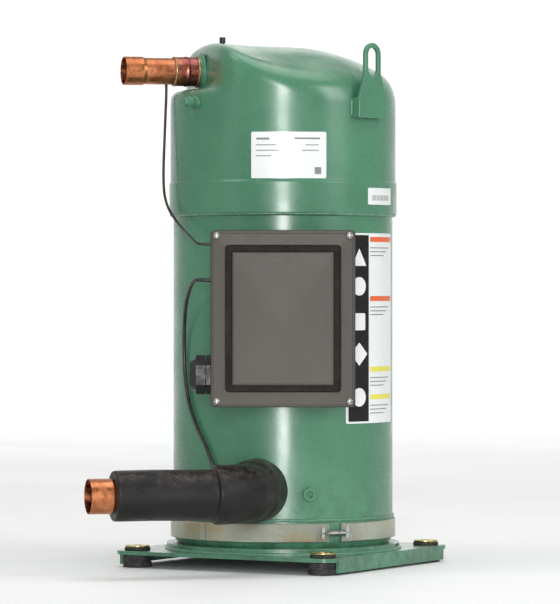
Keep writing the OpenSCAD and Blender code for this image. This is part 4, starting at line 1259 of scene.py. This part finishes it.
def heater_spring():
    """A close-wound tension spring between two bent hooks."""
    az, z = 27, 50 * MM
    centre_r = SHELL_R + 8.2 * MM
    coil_r, wire, turns, half = 3.3 * MM, 0.65 * MM, 15, 12
    t = np.linspace(0, 1, turns * 22)
    angle = 2 * np.pi * turns * t
    across = (2 * t - 1) * half * MM
    local = np.column_stack([centre_r + coil_r * np.cos(angle), across, coil_r * np.sin(angle)])
    verts, faces = swept(azimuth_frame(az, z)(local), wire, 8)
    piece("spring_coil", verts, faces, STEEL, stands_for=("heater_spring",), sharp=0)
    for side, word in ((-1, "left"), (1, "right")):
        # (out from a radius, sideways), in mm
        hook = [(3.3, half), (2.0, half + 2), (0, half + 4), (-2.6, half + 5.5), (-4.4, half + 7)]
        clip = [(3.3, half + 3.5), (4.6, half + 3.5), (4.6, half + 8), (4.2, half + 8)]
        bent = smooth_path(mm([(x, side * y, 0) for x, y in hook], centre_r), 26)
        verts, faces = swept(azimuth_frame(az, z)(bent), wire, 8)
        piece(f"spring_hook_{word}", verts, faces, STEEL, sharp=0)
        verts = [(x, y, up) for up in (-7 * MM, 7 * MM)
                 for x, y in mm([(x, side * y) for x, y in clip], SHELL_R)]
        piece(f"heater_clip_{word}", azimuth_frame(az, z)(verts), capped(len(clip), 2), STEEL)


def leads():
    for name, route, radius, node in (("heater_wire", HEATER_ROUTE, 2.5, "heater_lead"),
                                      ("sensor_wire", SENSOR_ROUTE, 1.8, "sensor_lead")):
        path = smooth_path(np.array(route) * MM, 150)
        verts, faces = swept(path, radius * MM, 16)
        piece(name, verts, faces, JACKET, stands_for=(node,), sharp=60)


def sensor():
    start, end = CHAMBER_FACE + 38 * MM, CHAMBER_FACE + 76 * MM
    corners = [(start, 0), (start, 4 * MM), (end, 4 * MM), (end, 0)]
    profile = filleted(corners, [0, 1.2 * MM, 1.2 * MM, 0], 4, closed=False)
    lathe_out("sensor_capsule", profile, LINE_AZ, DISCHARGE_Z, BLACK, 40, closed=False,
              at=(-21.7 * MM, 0), stands_for=("discharge_sensor",))


# ---------------- small ports

def small_ports():
    for node, material, bevel, segments in (
            ("service_port", PAINT, 0.5, 3), ("service_port_cap", PAINT, 0.6, 3),
            ("top_test_plug", BLACK, 0.7, 3), ("oil_drain_plug", PAINT, 0.6, 3),
            ("sight_glass_body", PAINT, 0.8, 3), ("sight_glass_lens", GLASS, 0.4, 2),
            ("equalizer_fitting", PAINT, 0.6, 3), ("equalizer_cap", BRASS, 0.7, 3)):
        dressed(node, material, bevel, segments)


# ---------------- feet

def feet():
    pattern = MOUNTS["base_bolts"]["dims"]["pcd_mm"] / 2 * MM
    bore = MOUNTS["base_bolts"]["dims"]["hole_r_mm"]
    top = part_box("mounting_grommets")[1].z / MM
    sleeve_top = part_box("mounting_sleeves")[1].z / MM
    plate_low, plate_high = 17, BASE_TOP / MM
    # radius, height and corner radius, in mm
    rubber = [(8, 0, 0.3), (19, 0, 1.6), (19, 6, 1.5), (17, 8.5, 1.5), (19, 11, 1.5),
              (19, plate_low - 0.1, 1.6), (12.4, plate_low - 0.1, 0.4), (12.4, plate_high + 0.1, 0.4),
              (17, plate_high + 0.1, 1.2), (17, top, 1.8), (8, top, 0.3)]
    sleeve = [(bore, 0, 0.4), (7.9, 0, 0.4), (7.9, top + 0.1, 0.3), (16, top + 0.1, 0.9),
              (16, sleeve_top, 0.9), (bore, sleeve_top, 0.8)]
    for name, corners, material, node in (("foot_rubber", rubber, RUBBER, "mounting_grommets"),
                                          ("foot_sleeve", sleeve, ZINC, "mounting_sleeves")):
        profile = filleted([c[:2] for c in mm(corners)], [c[2] for c in mm(corners)], 4)
        verts, faces = revolved(profile, 72)
        all_verts, all_faces = [], []
        for i in range(4):
            a = math.radians(15 + 90 * i)
            all_faces += [[v + len(verts) * i for v in f] for f in faces]
            all_verts.append(verts + [pattern * math.sin(a), -pattern * math.cos(a), 0])
        piece(name, np.concatenate(all_verts), all_faces, material, stands_for=(node,))


# ---------------- inside the shell

def insides():
    finishes = {
        TURNED_STEEL: ("crankshaft", "oil_pickup", "scroll_bolts", "valve_guard", "check_valve_disc",
                       "separator_plate"),
        LAMINATED: ("stator_core", "rotor"),
        WINDING: ("stator_windings",),
        IRON: ("fixed_scroll", "orbiting_scroll", "main_frame", "lower_bearing_bracket"),
        BRONZE: ("main_bearing", "lower_bearing", "drive_bush", "hub_bearing"),
        BRASS: ("balance_weights", "terminal_studs"),
        SINTERED: ("oldham_ring",),
        STEEL: ("terminal_plate",),
        BLACK: ("motor_protector", "gland_locknut"),
        PAINT: ("suction_fitting",),
    }
    for material, nodes in finishes.items():
        for node in nodes:
            painted(node, material)


# ---------------- stage and light

def backdrop():
    """A pale floor that rises into a wall far behind."""
    reach, rise, turn_r = 9.0, 6.0, 2.5
    line = [(-7.5, 0), (reach - turn_r, 0)]
    line += [(reach - turn_r + turn_r * math.sin(a), turn_r * (1 - math.cos(a)))
             for a in np.linspace(0, math.pi / 2, 24)[1:]]
    line += [(reach, rise)]
    half = 14.0
    verts = [(x, y, z) for y, z in line for x in (-half, half)]
    faces = [(2 * i, 2 * i + 1, 2 * i + 3, 2 * i + 2) for i in range(len(line) - 1)]
    mesh = bpy.data.meshes.new("backdrop")
    mesh.from_pydata(verts, [], faces)
    obj = bpy.data.objects.new("backdrop", mesh)
    bpy.context.scene.collection.objects.link(obj)
    mesh.materials.append(FLOOR)
    mesh.shade_smooth()


def softbox(name, at, aim, width, height, power, spread=180):
    data = bpy.data.lights.new(name, "AREA")
    data.shape = "RECTANGLE"
    data.size, data.size_y = width, height
    data.energy = power
    data.spread = math.radians(spread)
    light = bpy.data.objects.new(name, data)
    bpy.context.scene.collection.objects.link(light)
    light.location = at
    light.rotation_euler = (Vector(aim) - Vector(at)).to_track_quat("-Z", "Y").to_euler()


def lighting():
    world = bpy.data.worlds.new("world")
    bpy.context.scene.world = world
    world.use_nodes = True
    world.node_tree.nodes["Background"].inputs["Color"].default_value = (1.0, 1.0, 1.0, 1)
    world.node_tree.nodes["Background"].inputs["Strength"].default_value = 0.44
    softbox("front_strip", (0.0, -6.2, 0.9), (0, 0, 0.35), 1.1, 2.6, 225)
    softbox("right_box", (3.4, -2.4, 2.0), (0, 0, 0.35), 1.6, 2.4, 70)
    softbox("top_box", (0.3, -0.4, 3.2), (0, 0, 0.3), 2.4, 2.4, 38)
    softbox("left_fill", (-3.8, -2.8, 1.4), (0, 0, 0.35), 1.6, 2.2, 6)
    softbox("high_left", (-2.0, -1.0, 3.0), (0, 0, 0.62), 0.9, 0.9, 12)
    softbox("low_strip", (0, -1.5, 0.115), (0, 0, 0.115), 0.24, 0.2, 0.3, spread=60)
    softbox("wall_wash", (0, 4.5, 5.5), (0, 8.8, 1.2), 9.0, 1.5, 330)
    bpy.context.scene.view_settings.view_transform = "Standard"


# ---------------- all of it

leads()
top_cap()
shell_tube()
bottom_dish()
shell_welds()
lifting_lugs()
base()
discharge_line()
suction_foam()
suction_pipe()
box_cover()
box_body()
labels()
heater_belt()
heater_spring()
sensor()
small_ports()
feet()
insides()
backdrop()
lighting()
